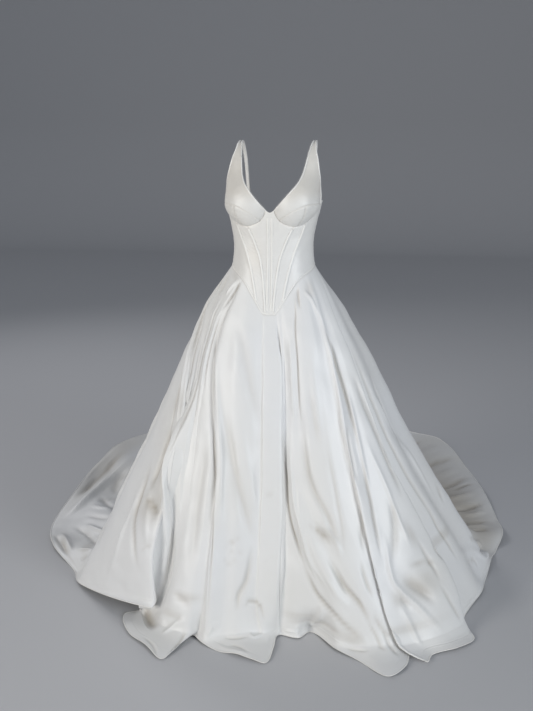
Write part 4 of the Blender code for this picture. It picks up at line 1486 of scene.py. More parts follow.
    def build_channels(self) -> list[bpy.types.Object]:
        """Builds the boning channels: strips with a rounded back, laid along the seams.

        Returns:
            The strips.
        """
        made = []
        across = np.linspace(-1, 1, 15)
        rounded = np.sqrt(np.clip(1 - np.abs(across) ** self.channel_fullness, 0, 1))
        rise = self.channel_base + self.channel_height * rounded
        for name, path in self.seam_paths().items():
            base, out = self.figure.outside(*path.T), self.figure.outward(*path.T)
            level = np.cross(unit(np.gradient(base, axis=0)), out)
            inset = np.clip(lengths(base[:, None], 0)[:, 0] / self.channel_taper, 0, 1)
            inset = np.minimum(inset, inset[::-1]) ** 0.5
            points = base[:, None] + level[:, None] * (across * self.channel_half_width)[:, None]
            lift = self.centre_lift if name == "centre" else 1.0
            points = points + out[:, None] * (lift * rise * inset[:, None])[..., None]
            points = points[2:-3]
            for side in Side:
                shown = on_side(points, side)
                node = f"channel_{name}_{side.value}"
                strip = cloth_piece(f"strip_{node}", leaned(shown), self.bias, self.channel_cloth)
                made.append(ride(strip, "piping", node))
        return made

    def edge_tube(self, name: str, path: Points) -> bpy.types.Object:
        """Lays a rolled edge along a line of the wearer's left and on through the centre to the other side.

        Args:
            name: the piece's name.
            path: the line of (theta, climb) places, from the centre line outwards.

        Returns:
            The edge.
        """
        base, out = self.figure.outside(*path.T), self.figure.outward(*path.T)
        base = base - out * self.thickness / 2
        flip = np.array([-1.0, 1.0, 1.0])
        base = np.concatenate([base[:0:-1] * flip, base])
        out = np.concatenate([out[:0:-1] * flip, out])
        points = tube(base, out, self.binding_half_width, self.binding_height)
        return ride(cloth_piece(name, leaned(points), self.bias, 0.0, closed=True), "piping")

    def build_edges(self) -> list[bpy.types.Object]:
        """Builds the rolled edges: the neckline, both armholes with the back's top edge, and the waist.

        Returns:
            The edges.
        """
        figure = self.figure
        neck = np.concatenate([figure.front_line(NOTCH, 24)[:-1], figure.front_line(NECKLINE, 170)])
        arm = figure.front_line(ARMHOLE, 120)[::-1]
        side = figure.line([arm[-1], self.radian(UNDERARM), self.radian(SIDE_TOP)], 30)
        behind = (SIDE_TOP, SIDE_BACK_MID, SIDE_BACK_TOP, BACK_MID, BACK_TOP)
        back = [self.radian(edge) for edge in behind]
        around = np.concatenate([arm[:-1], side[:-1], figure.line(back, 120)])
        return [
            self.edge_tube("rolled_neckline", neck),
            self.edge_tube("rolled_top_edge", around[::-1]),
            self.edge_tube("rolled_waist_edge", self.waist_line(0, np.pi, 220)),
        ]

    @staticmethod
    def radian(edge: Edge) -> Pair:
        """A place on the top edge as (theta, climb)."""
        return (float(np.radians(edge.angle)), edge.height)

    def strap(self) -> tuple[Points, Points]:
        """Runs the back half of the left strap over the shoulder, as a smooth curve.

        Returns:
            Its middle line and its level direction.
        """
        end = self.figure.inside(*(np.array(value) for value in self.radian(STRAP_END)))
        path = [(SHOULDER_X - place.inward, place.y, place.height) for place in STRAP]
        low = STRAP_END.height - self.strap_tuck
        path = np.array([*path, (end[0], end[1] + BODICE_WALL, low)])
        length = np.concatenate([[0], np.cumsum(np.linalg.norm(np.diff(path, axis=0), axis=1))])
        share = even(self.strap_rows)
        middle = np.stack([pchip(length, path[:, i], share * length[-1]) for i in range(3)], -1)
        run = unit(np.gradient(middle, axis=0))
        level = np.stack([np.ones_like(share), self.strap_twist * share**2, np.zeros_like(share)], -1)
        return middle, unit(level - run * (level * run).sum(-1, keepdims=True))

    def build_straps(self) -> list[bpy.types.Object]:
        """Builds the back halves of the straps: flat ribbons with a thick rolled rim along both sides.

        Returns:
            The two straps.
        """
        middle, level = self.strap()
        out = np.cross(level, unit(np.gradient(middle, axis=0)))
        across = np.linspace(-1, 1, 17)
        crown = BODICE_WALL + self.strap_rim * bell(np.abs(across) - self.rim_place, self.rim_width)
        points = middle[:, None] + level[:, None] * (across * self.strap_half_width)[:, None]
        points = points + out[:, None] * crown[:, None]
        made = []
        for side in Side:
            shown = on_side(points, side)
            node = f"strap_back_{side.value}"
            strap = cloth_piece(f"cloth_{node}", leaned(shown), self.satin, self.strap_cloth)
            made.append(ride(strap, "satin", node))
        return made

    def stitch_paths(self) -> list[tuple[Points, Points]]:
        """Runs the lines of stitching of the wearer's left, a little off the cloth.

        Returns:
            Each line's places and outward directions.
        """
        figure = self.figure
        found = []

        def add(path: Points, aside: float, lift: float) -> None:
            """Adds one line of stitches beside a seam.

            Args:
                path: the seam, as (theta, climb) places.
                aside: how far from it along the cloth.
                lift: how far off the cloth.
            """
            base, out = figure.outside(*path.T), figure.outward(*path.T)
            level = np.cross(unit(np.gradient(base, axis=0)), out)
            found.append((base + level * aside + out * lift, out))

        for path in self.seam_paths().values():
            for side in (-self.channel_stitches, self.channel_stitches):
                add(path[4:-5], side * self.channel_half_width, self.channel_stitch_lift)
        upright = figure.front_line(CUP_UPRIGHT, 60)[3:-3]
        cup = figure.front_line(CUP_SEAM, 160)[6:-4]
        for aside in (-self.cup_stitches, self.cup_stitches):
            add(upright, aside, self.stitch_lift)
            add(cup, aside, self.stitch_lift)
        wire = figure.stretch(UNDERWIRE, self.wire_from, UNDERWIRE[-1].x, 160)
        add(wire, self.wire_stitches, self.stitch_lift)
        add(figure.front_line(NECKLINE, 200)[3:], -self.neck_stitches, self.neck_stitch_lift)
        return found

    def build_stitches(self) -> bpy.types.Object:
        """Builds the visible stitches as one piece: short spindles along each stitch line.

        Returns:
            The stitches.
        """
        spindles = []
        turn = np.arange(4) * np.pi / 2
        sizes = self.stitch_half * np.array([0.3, 1.0, 0.3])
        for path, out in self.stitch_paths():
            along = lengths(path[:, None], 0)[:, 0]
            starts = np.arange(self.stitch_pitch / 2, along[-1] - self.stitch_length, self.stitch_pitch)
            places = starts[:, None] + self.stitch_length * np.array([0.0, 0.5, 1.0])
            middle = np.stack([np.interp(places, along, path[:, i]) for i in range(3)], -1)
            up = np.stack([np.interp(places, along, out[:, i]) for i in range(3)], -1)
            run = unit(middle[:, -1:] - middle[:, :1])
            level = np.cross(up, run)
            ring = level[..., None, :] * np.cos(turn)[:, None]
            ring = ring + up[..., None, :] * np.sin(turn)[:, None]
            spindles.append(middle[..., None, :] + ring * sizes[:, None, None])
        left = np.concatenate(spindles)
        both = np.concatenate([left, left[..., ::-1, :] * np.array([-1.0, 1.0, 1.0])])
        ring = np.arange(4)
        after = np.roll(ring, -1)
        low = np.stack([ring, after, 4 + after, 4 + ring], -1)
        quads = np.concatenate([low, low + 4, [ring[::-1], 8 + ring]])
        steps = np.arange(len(both))[:, None, None] * 12
        mesh = bpy.data.meshes.new("bodice_stitching")
        faces = (quads + steps).reshape(-1, 4)
        mesh.from_pydata(leaned(both.reshape(-1, 3)).tolist(), [], faces.tolist())
        mesh.shade_smooth()
        mesh.materials.append(self.thread)
        made = bpy.data.objects.new("bodice_stitching", mesh)
        bpy.context.scene.collection.objects.link(made)
        return ride(made, "piping")

    def build(self) -> None:
        """Builds the whole bodice."""
        cloth = self.build_pieces()
        strips, edges, straps = self.build_channels(), self.build_edges(), self.build_straps()
        stitches = self.build_stitches()


TROUGH, RIDGE = Form
CREASES = [
    # The wearer's right: the smooth front panel with its straight line, soft fold and hollow
    Crease(RIDGE, 8, 3.5, ((11.75, 0.60), (11.95, 0.72), (11.95, 0.85), (11.70, 0.98))),
    Crease(TROUGH, 8, 7, ((11.85, 0.58), (12.05, 0.66), (12.15, 0.74), (12.35, 0.82), (12.55, 0.92))),
    Crease(RIDGE, 9, 4, ((12.25, 0.58), (12.35, 0.68), (12.55, 0.77), (12.70, 0.83))),
    Crease(TROUGH, 10, 10, ((12.40, 0.48), (12.30, 0.56), (12.30, 0.63), (12.40, 0.68))),
    Crease(TROUGH, 11, 11, ((12.25, 0.70), (12.50, 0.71), (12.80, 0.74))),
    Crease(RIDGE, 7, 5, ((12.40, 0.56), (12.50, 0.62), (12.65, 0.67))),
    Crease(TROUGH, 4, 2.5, ((12.55, 0.82), (12.75, 0.81), (13.20, 0.81))),
    Crease(TROUGH, 4, 2.5, ((12.55, 0.85), (12.70, 0.83), (12.85, 0.83))),
    Crease(TROUGH, 12, 5, ((9.20, 0.80), (10.85, 0.83), (11.10, 0.89))),
    # The pleats at the waist seam
    Crease(TROUGH, 4, 6, ((20.25, 0.01), (20.00, 0.04), (18.60, 0.10))),
    Crease(RIDGE, 4, 4, ((19.25, 0.01), (18.35, 0.04), (17.70, 0.07))),
    Crease(TROUGH, 4, 5, ((32.90, 0.01), (33.00, 0.04), (33.75, 0.08))),
    Crease(RIDGE, 5, 4, ((34.60, 0.03), (36.00, 0.07), (36.55, 0.12))),
    Crease(TROUGH, 3, 3, ((15.75, 0.02), (15.80, 0.05), (15.70, 0.09))),
    Crease(TROUGH, 3, 3, ((12.90, 0.04), (13.80, 0.07), (14.40, 0.10))),
    # The narrow pleats and the panel beside them
    Crease(RIDGE, 4, 5, ((12.60, 0.14), (12.70, 0.26), (12.65, 0.38), (12.60, 0.50))),
    Crease(TROUGH, 3, 4, ((12.35, 0.20), (12.45, 0.32), (12.40, 0.44), (12.30, 0.54))),
    Crease(TROUGH, 3.2, 4, ((13.50, 0.10), (13.60, 0.19), (13.60, 0.28))),
    Crease(RIDGE, 4, 4, ((15.55, 0.16), (15.60, 0.26), (15.60, 0.36), (15.70, 0.46))),
    Crease(TROUGH, 3, 5, ((15.15, 0.14), (15.10, 0.22), (15.10, 0.30), (15.20, 0.40))),
    Crease(
        TROUGH, 3.5, 4, (
            (17.80, 0.06), (17.30, 0.13), (17.30, 0.22), (17.30, 0.30),
            (17.10, 0.38), (16.90, 0.47), (16.80, 0.56),
        ),
    ),
    Crease(RIDGE, 5, 4, ((18.30, 0.08), (18.20, 0.20), (18.30, 0.32), (18.20, 0.44))),
    Crease(TROUGH, 3, 4, ((18.90, 0.10), (18.80, 0.22), (18.90, 0.33))),
    Crease(TROUGH, 20, 7, ((19.55, 0.41), (19.30, 0.58), (19.35, 0.73), (19.50, 0.86))),
    Crease(RIDGE, 14, 4, ((17.85, 0.52), (17.55, 0.68), (17.85, 0.83))),
    Crease(TROUGH, 8, 5, ((18.35, 0.90), (19.25, 0.91), (20.10, 0.92))),
    Crease(TROUGH, 6, 5, ((17.75, 0.95), (18.90, 0.95), (19.70, 0.95))),
    Crease(TROUGH, 15, 12, ((16.60, 1.06), (17.40, 1.07), (18.40, 1.04))),
    Crease(RIDGE, 7, 6, ((18.85, 1.14), (19.00, 0.99), (19.55, 0.96), (20.25, 0.96))),
    Crease(RIDGE, 5, 5, ((17.00, 0.96), (18.05, 0.97), (18.70, 0.99))),
    Crease(TROUGH, 6, 4, ((19.75, 0.97), (19.90, 1.10), (20.25, 1.44))),
    Crease(TROUGH, 5, 3, ((18.50, 1.38), (19.15, 1.42), (19.70, 1.48))),
    Crease(RIDGE, 42, 50, ((16.25, 0.30), (16.30, 0.72), (16.30, 1.07))),
    Crease(RIDGE, 30, 34, ((16.80, 0.40), (16.80, 0.72), (16.80, 1.05))),
    # The fold beside it and the broad panel
    Crease(TROUGH, 3.2, 6, ((20.20, 0.18), (21.70, 0.24), (21.95, 0.30), (21.90, 0.36))),
    Crease(TROUGH, 3.4, 5, ((22.00, 0.34), (20.65, 0.48), (21.35, 0.62), (22.00, 0.79), (22.10, 0.98))),
    Crease(RIDGE, 9, 5, ((22.15, 0.18), (22.45, 0.39), (22.40, 0.56), (22.50, 0.72))),
    Crease(TROUGH, 16, 5, ((23.30, 0.09), (24.25, 0.15), (25.05, 0.27), (25.60, 0.36))),
    Crease(TROUGH, 15, 8, ((22.75, 0.33), (23.25, 0.48), (24.45, 0.62), (25.35, 0.72))),
    Crease(TROUGH, 8, 6, ((25.35, 0.72), (25.00, 0.83), (24.20, 0.89), (24.05, 0.93))),
    Crease(RIDGE, 12, 4, ((24.10, 0.36), (24.95, 0.53), (25.95, 0.65))),
    Crease(TROUGH, 5, 3, ((24.35, 0.71), (23.50, 0.73), (22.70, 0.74))),
    Crease(TROUGH, 5, 2.5, ((24.15, 0.78), (23.25, 0.79), (22.70, 0.78))),
    Crease(TROUGH, 4, 2, ((24.65, 0.76), (23.95, 0.75), (23.15, 0.76))),
    Crease(TROUGH, 5, 5, ((24.80, 0.92), (25.50, 0.90), (27.10, 0.91), (27.25, 0.95))),
    Crease(RIDGE, 5, 3.5, ((24.85, 0.97), (25.35, 1.06), (26.70, 0.99))),
    Crease(RIDGE, 5, 4, ((22.10, 1.02), (22.45, 0.96), (22.85, 0.96))),
    Crease(TROUGH, 5, 3, ((22.95, 1.03), (23.90, 1.07), (25.00, 1.04))),
    Crease(TROUGH, 5, 3, ((23.45, 1.23), (24.10, 1.27), (24.80, 1.37))),
    Crease(RIDGE, 7, 3.5, ((22.45, 1.22), (23.75, 1.41), (25.15, 1.45))),
    # The strip down the middle and the deep fold beside it
    Crease(TROUGH, 3, 1.5, ((27.00, 0.57), (27.40, 0.56), (27.70, 0.58))),
    Crease(TROUGH, 3.5, 1.5, ((27.25, 0.77), (27.55, 0.76), (28.90, 0.77))),
    Crease(TROUGH, 3, 1.2, ((27.10, 0.35), (27.45, 0.35), (27.75, 0.36))),
    Crease(TROUGH, 3, 3, ((28.60, 0.02), (28.70, 0.15), (28.80, 0.35))),
    Crease(RIDGE, 9, 9, ((29.10, 0.10), (29.10, 0.26), (29.10, 0.46))),
    Crease(TROUGH, 5, 7, ((29.70, 0.35), (31.00, 0.53), (30.65, 0.68), (30.60, 0.78))),
    Crease(TROUGH, 7, 7, ((30.50, 0.76), (30.80, 0.86), (32.20, 0.93), (33.80, 0.97))),
    Crease(RIDGE, 11, 16, ((28.90, 0.44), (29.00, 0.68), (29.00, 1.02))),
    Crease(RIDGE, 6, 5, ((31.60, 0.41), (31.90, 0.54), (31.75, 0.65), (31.20, 0.76), (31.70, 0.85))),
    # The folds right of it
    Crease(TROUGH, 3, 5, ((32.70, 0.00), (32.80, 0.09), (33.00, 0.21), (33.10, 0.33), (33.25, 0.40))),
    Crease(RIDGE, 7, 4, ((32.30, 0.10), (32.30, 0.24), (32.50, 0.40))),
    Crease(TROUGH, 10, 7, ((33.35, 0.40), (33.55, 0.54), (34.15, 0.65), (34.00, 0.74))),
    Crease(RIDGE, 5, 3, ((32.70, 0.55), (32.00, 0.65), (31.05, 0.76), (31.05, 0.83))),
    Crease(RIDGE, 12, 4, ((34.65, 0.17), (34.60, 0.33), (34.60, 0.48))),
    Crease(TROUGH, 11, 3.5, ((34.20, 0.29), (34.35, 0.38), (34.55, 0.46))),
    Crease(TROUGH, 7, 3.5, ((34.90, 0.45), (34.95, 0.56), (34.70, 0.67), (33.95, 0.77))),
    Crease(TROUGH, 6, 5, ((32.30, 0.67), (33.00, 0.69), (33.50, 0.72))),
    Crease(RIDGE, 6, 5, ((32.80, 0.66), (33.65, 0.68), (34.00, 0.72), (33.60, 0.77))),
    Crease(TROUGH, 8, 9, ((32.75, 0.75), (32.90, 0.83), (33.55, 0.88), (34.30, 0.94))),
    Crease(RIDGE, 7, 4, ((31.70, 0.79), (32.20, 0.86), (33.25, 0.91))),
    Crease(TROUGH, 8, 5, ((37.40, 0.40), (37.30, 0.48), (37.35, 0.57))),
    Crease(RIDGE, 8, 5, ((37.00, 0.34), (36.30, 0.45), (35.90, 0.55))),
    Crease(TROUGH, 5, 7, ((36.75, 0.13), (37.90, 0.23), (38.20, 0.35), (38.20, 0.49))),
    Crease(TROUGH, 5, 6, ((38.20, 0.49), (38.00, 0.59), (37.75, 0.68), (37.60, 0.77))),
    Crease(RIDGE, 6, 5, ((38.45, 0.31), (38.35, 0.42), (38.20, 0.53), (37.90, 0.63))),
    Crease(TROUGH, 6, 3, ((37.00, 0.61), (35.60, 0.69), (35.30, 0.75))),
    Crease(TROUGH, 5, 4, ((34.95, 0.77), (34.75, 0.83), (34.80, 0.87))),
    Crease(RIDGE, 8, 4, ((37.70, 0.90), (37.90, 0.94), (38.10, 1.05))),
    Crease(TROUGH, 9, 6, ((39.15, 0.62), (38.65, 0.70), (37.95, 0.79))),
    Crease(RIDGE, 7, 8, ((38.10, 0.71), (37.75, 0.82), (38.35, 0.91), (39.00, 0.98))),
    Crease(TROUGH, 14, 9, ((38.10, 0.83), (38.60, 0.87), (39.10, 0.92))),
    Crease(TROUGH, 7, 4, ((37.80, 0.88), (37.95, 0.89), (38.10, 0.91))),
    Crease(TROUGH, 7, 5, ((34.50, 0.91), (35.05, 0.95), (35.40, 0.97))),
    Crease(TROUGH, 5, 4, ((35.10, 0.95), (35.20, 1.01), (35.20, 1.28))),
    Crease(TROUGH, 5, 4, ((34.05, 0.93), (34.55, 0.96), (34.95, 1.06))),
    Crease(RIDGE, 7, 4, ((32.55, 0.98), (33.50, 0.96), (34.30, 0.99))),
    Crease(TROUGH, 5, 3, ((32.40, 1.15), (33.10, 1.08), (34.10, 1.04))),
    Crease(RIDGE, 14, 10, ((31.00, 0.88), (31.10, 0.96), (31.10, 1.04))),
    Crease(TROUGH, 8, 5, ((29.35, 0.96), (30.15, 0.96), (31.55, 0.96), (32.35, 0.97))),
    Crease(RIDGE, 7, 5, ((29.15, 1.11), (29.80, 1.08), (30.15, 1.49))),
    # The front of the wearer's left side
    Crease(TROUGH, 10, 8, ((39.35, 0.28), (39.55, 0.39), (39.75, 0.53), (39.55, 0.64))),
    Crease(RIDGE, 7, 5, ((38.85, 0.46), (39.10, 0.58), (39.00, 0.69), (38.95, 0.76))),
    Crease(TROUGH, 7, 5, ((41.75, 0.20), (41.75, 0.40), (41.80, 0.60), (41.85, 0.84))),
    Crease(TROUGH, 5, 5, ((41.85, 0.70), (41.75, 0.80), (41.80, 0.89))),
    Crease(RIDGE, 8, 4, ((41.95, 0.31), (42.30, 0.43), (43.20, 0.59), (43.20, 0.73))),
    Crease(TROUGH, 8, 5, ((43.75, 0.70), (43.60, 0.72), (43.45, 0.75))),
    Crease(TROUGH, 9, 8, ((41.60, 0.77), (39.90, 0.79), (39.90, 0.83))),
    Crease(TROUGH, 7, 5, ((38.45, 0.80), (39.20, 0.81), (39.60, 0.83))),
    Crease(TROUGH, 8, 5, ((39.30, 0.75), (39.35, 0.81), (39.40, 0.87))),
    Crease(TROUGH, 6, 4, ((39.30, 0.88), (39.50, 0.94), (39.75, 0.98))),
    Crease(TROUGH, 10, 5, ((42.70, 0.30), (42.80, 0.42), (42.80, 0.55))),
    Crease(TROUGH, 6, 4, ((43.60, 0.90), (43.90, 0.92), (44.20, 0.93))),
    Crease(RIDGE, 7, 5, ((41.85, 0.88), (43.45, 0.93), (44.75, 1.30))),
    Crease(TROUGH, 5, 3.5, ((42.20, 0.92), (43.30, 0.95), (43.30, 0.97))),
    # The train beside the skirt: one layer's edge over the next, and wrinkles that cross it
    Crease(
        RIDGE, 14, 18,
        ((4.60, 1.37), (5.55, 1.34), (6.10, 1.35), (6.80, 1.35), (7.35, 1.39), (7.75, 1.45)),
    ),
    Crease(TROUGH, 12, 13, ((5.00, 1.42), (5.80, 1.41), (6.60, 1.42), (7.20, 1.45))),
    Crease(RIDGE, 10, 7, ((5.20, 1.47), (6.00, 1.48), (6.80, 1.49))),
    Crease(TROUGH, 11, 5, ((8.60, 1.02), (8.20, 1.12), (7.90, 1.22), (7.80, 1.33))),
    Crease(TROUGH, 11, 4, ((7.20, 1.10), (7.30, 1.18), (7.40, 1.28))),
    Crease(RIDGE, 9, 8, ((7.75, 1.04), (7.70, 1.14), (7.65, 1.26))),
    Crease(RIDGE, 9, 7, ((6.60, 1.14), (6.90, 1.20), (7.10, 1.30))),
    Crease(TROUGH, 12, 5, ((6.00, 1.20), (6.50, 1.24), (6.90, 1.28))),
    Crease(RIDGE, 10, 7, ((8.90, 1.00), (9.00, 1.10), (8.95, 1.20))),
    Crease(TROUGH, 9, 4, ((9.30, 1.02), (9.50, 1.10), (9.60, 1.18))),
    Crease(RIDGE, 10, 9, ((8.20, 1.40), (8.70, 1.32), (9.20, 1.27))),
    Crease(TROUGH, 10, 6, ((8.40, 1.46), (8.90, 1.38), (9.40, 1.33))),
    Crease(TROUGH, 12, 12, ((50.60, 1.30), (50.40, 1.38), (50.30, 1.46))),
    Crease(RIDGE, 12, 10, ((50.00, 1.28), (49.90, 1.38), (49.80, 1.48))),
    Crease(TROUGH, 14, 14, ((49.60, 1.26), (49.50, 1.38), (49.40, 1.49))),
    Crease(RIDGE, 11, 9, ((49.20, 1.30), (49.15, 1.38), (49.10, 1.47))),
    Crease(TROUGH, 13, 13, ((48.75, 1.26), (48.70, 1.36), (48.80, 1.48))),
    Crease(TROUGH, 8, 8, ((48.40, 1.34), (48.50, 1.41), (48.45, 1.48))),
    Crease(RIDGE, 13, 11, ((48.10, 1.24), (48.10, 1.34), (48.15, 1.46))),
    Crease(TROUGH, 14, 14, ((47.70, 1.20), (47.60, 1.32), (47.70, 1.46))),
    Crease(RIDGE, 10, 8, ((47.35, 1.26), (47.30, 1.35), (47.40, 1.45))),
    Crease(TROUGH, 12, 11, ((47.00, 1.16), (46.90, 1.28), (46.95, 1.42))),
    Crease(RIDGE, 13, 10, ((46.60, 1.14), (46.50, 1.26), (46.55, 1.40))),
    Crease(TROUGH, 12, 11, ((46.10, 1.12), (46.15, 1.22), (46.20, 1.34))),
    Crease(RIDGE, 16, 12, ((45.40, 1.04), (45.30, 1.14), (45.30, 1.26))),
    Crease(TROUGH, 9, 9, ((44.80, 1.00), (44.90, 1.10), (44.90, 1.22))),
    Crease(RIDGE, 15, 12, ((43.90, 1.02), (44.30, 1.06), (44.70, 1.05))),
    Crease(TROUGH, 8, 8, ((43.70, 0.95), (44.20, 0.97), (44.70, 0.96))),
    Crease(TROUGH, 7, 6, ((44.10, 1.14), (44.40, 1.20), (44.50, 1.28))),
    # Folds and wrinkles of the hidden back, much like those in front
    Crease(RIDGE, 16, 7, ((2.40, 0.20), (2.30, 0.50), (2.40, 0.80))),
    Crease(TROUGH, 14, 8, ((1.60, 0.25), (1.70, 0.55), (1.60, 0.95))),
    Crease(TROUGH, 14, 8, ((3.50, 0.30), (3.60, 0.60), (3.40, 0.90))),
    Crease(RIDGE, 16, 7, ((4.60, 0.22), (4.50, 0.52), (4.70, 0.86))),
    Crease(TROUGH, 15, 9, ((5.40, 0.26), (5.50, 0.62), (5.60, 0.92))),
    Crease(RIDGE, 14, 7, ((6.50, 0.18), (6.40, 0.48), (6.50, 0.80))),
    Crease(TROUGH, 14, 8, ((0.60, 0.20), (0.70, 0.60), (0.60, 1.00))),
    Crease(TROUGH, 18, 12, ((2.00, 1.05), (2.60, 1.12), (3.30, 1.08))),
    Crease(RIDGE, 16, 10, ((4.00, 1.10), (4.70, 1.18), (5.40, 1.12))),
    Crease(TROUGH, 16, 11, ((1.20, 1.20), (1.90, 1.27), (2.50, 1.25))),
    Crease(RIDGE, 15, 9, ((3.10, 1.24), (3.80, 1.30), (4.40, 1.26))),
    Crease(TROUGH, 15, 10, ((5.00, 1.26), (5.70, 1.30), (6.20, 1.24))),
    Crease(TROUGH, 14, 8, ((6.60, 1.02), (6.70, 1.16), (6.60, 1.30))),
    Crease(RIDGE, 16, 7, ((51.50, 0.22), (51.60, 0.55), (51.50, 0.90))),
    Crease(TROUGH, 14, 8, ((50.50, 0.26), (50.40, 0.60), (50.50, 0.94))),
    Crease(RIDGE, 16, 7, ((49.50, 0.20), (49.40, 0.50), (49.60, 0.84))),
    Crease(TROUGH, 14, 8, ((48.40, 0.28), (48.50, 0.58), (48.40, 0.90))),
    Crease(RIDGE, 15, 6, ((47.50, 0.24), (47.40, 0.52), (47.50, 0.82))),
    Crease(TROUGH, 16, 10, ((51.80, 1.10), (51.20, 1.16), (50.60, 1.12))),
    Crease(RIDGE, 15, 9, ((52.20, 1.24), (51.60, 1.30), (51.00, 1.26))),
    Crease(TROUGH, 14, 8, ((46.50, 0.30), (46.40, 0.60), (46.50, 0.88))),
    Crease(RIDGE, 14, 6, ((45.50, 0.34), (45.40, 0.64), (45.50, 0.90))),
    Crease(RIDGE, 14, 6, ((9.50, 0.30), (9.40, 0.60), (9.50, 0.88))),
    Crease(TROUGH, 12, 7, ((10.40, 0.34), (10.30, 0.66), (10.40, 0.90))),
]


# Patches of painted shade, standing in for shadow and dark reflections: on the front's folds, at the waist's
# pleats and on both sides of the train
SHADES = [
    Shade(12.72, 0.715, 0.60, 0.045, 0.65),
    Shade(17.45, 1.06, 0.60, 0.07, 0.65),
    Shade(19.75, 0.90, 0.88, 0.01, 0.50),
    Shade(26.10, 0.93, 1.00, 0.03, 0.20),
    Shade(33.35, 0.70, 0.70, 0.02, 0.50),
    Shade(38.80, 0.86, 0.62, 0.035, 0.60),
    Shade(30.25, 0.94, 0.82, 0.01, 0.50),
    Shade(37.75, 0.88, 0.20, 0.02, 0.60),
    Shade(41.60, 0.80, 0.92, 0.01, 0.60),
    Shade(32.95, 0.97, 0.85, 0.02, 0.50),
    Shade(37.75, 0.95, 1.15, 0.01, 0.50),
    Shade(39.20, 0.73, 0.15, 0.03, 0.50),
    Shade(12.65, 0.41, 0.32, 0.04, 0.50),
    Shade(12.45, 0.53, 0.20, 0.04, 0.45),
    Shade(12.55, 0.62, 0.16, 0.04, 0.50),
    Shade(18.50, 0.01, 1.20, 0.01, 0.40),
    Shade(36.25, 0.04, 1.20, 0.02, 0.40),
    Shade(5.90, 1.46, 1.60, 0.05, 0.60),
    Shade(5.40, 1.41, 0.50, 0.03, 0.50),
    Shade(8.80, 1.08, 0.50, 0.05, 0.50),
    Shade(9.10, 1.36, 0.70, 0.03, 0.50),
    Shade(47.80, 1.24, 3.30, 0.20, 1.35),
]


PANELS = [
    Panel("skirt_back_R", "back_seam", "side_r_in", (2.05, 2.35), 1.85, (20, 5)),
    Panel("skirt_side_R", "side_r_in", "cluster_deep", (1.06, 1.56), 0.53, (7, 7)),
    Panel("skirt_side_front_R", "cluster_deep", "left_apex_in", (0.51, 1.25), 0.21, (3, 3)),
    Panel("skirt_front", "left_apex_in", "front_roll_in", (0.78, 1.19), 0.39, (3.8, 3.8)),
    Panel("skirt_side_front_L", "front_roll_in", "panel_g_in", (0.72, 1.30), 0.405, (4, 4)),
    Panel("skirt_side_L", "panel_g_in", "back_l3_in", (0.85, 1.58), 0.695, (7.5, 7)),
    Panel("skirt_back_L", "back_l3_in", "back_seam", (1.63, 2.35), 1.28, (6, 20)),
]


# Shares of the skirt's rows, and the drops that they reach
ROW_SHARES = (0.0, 0.12, 0.30, 0.60, 0.82, 1.0)
ROW_DROPS = (0.0, 0.07, 0.30, 0.86, 1.14, 1.5)


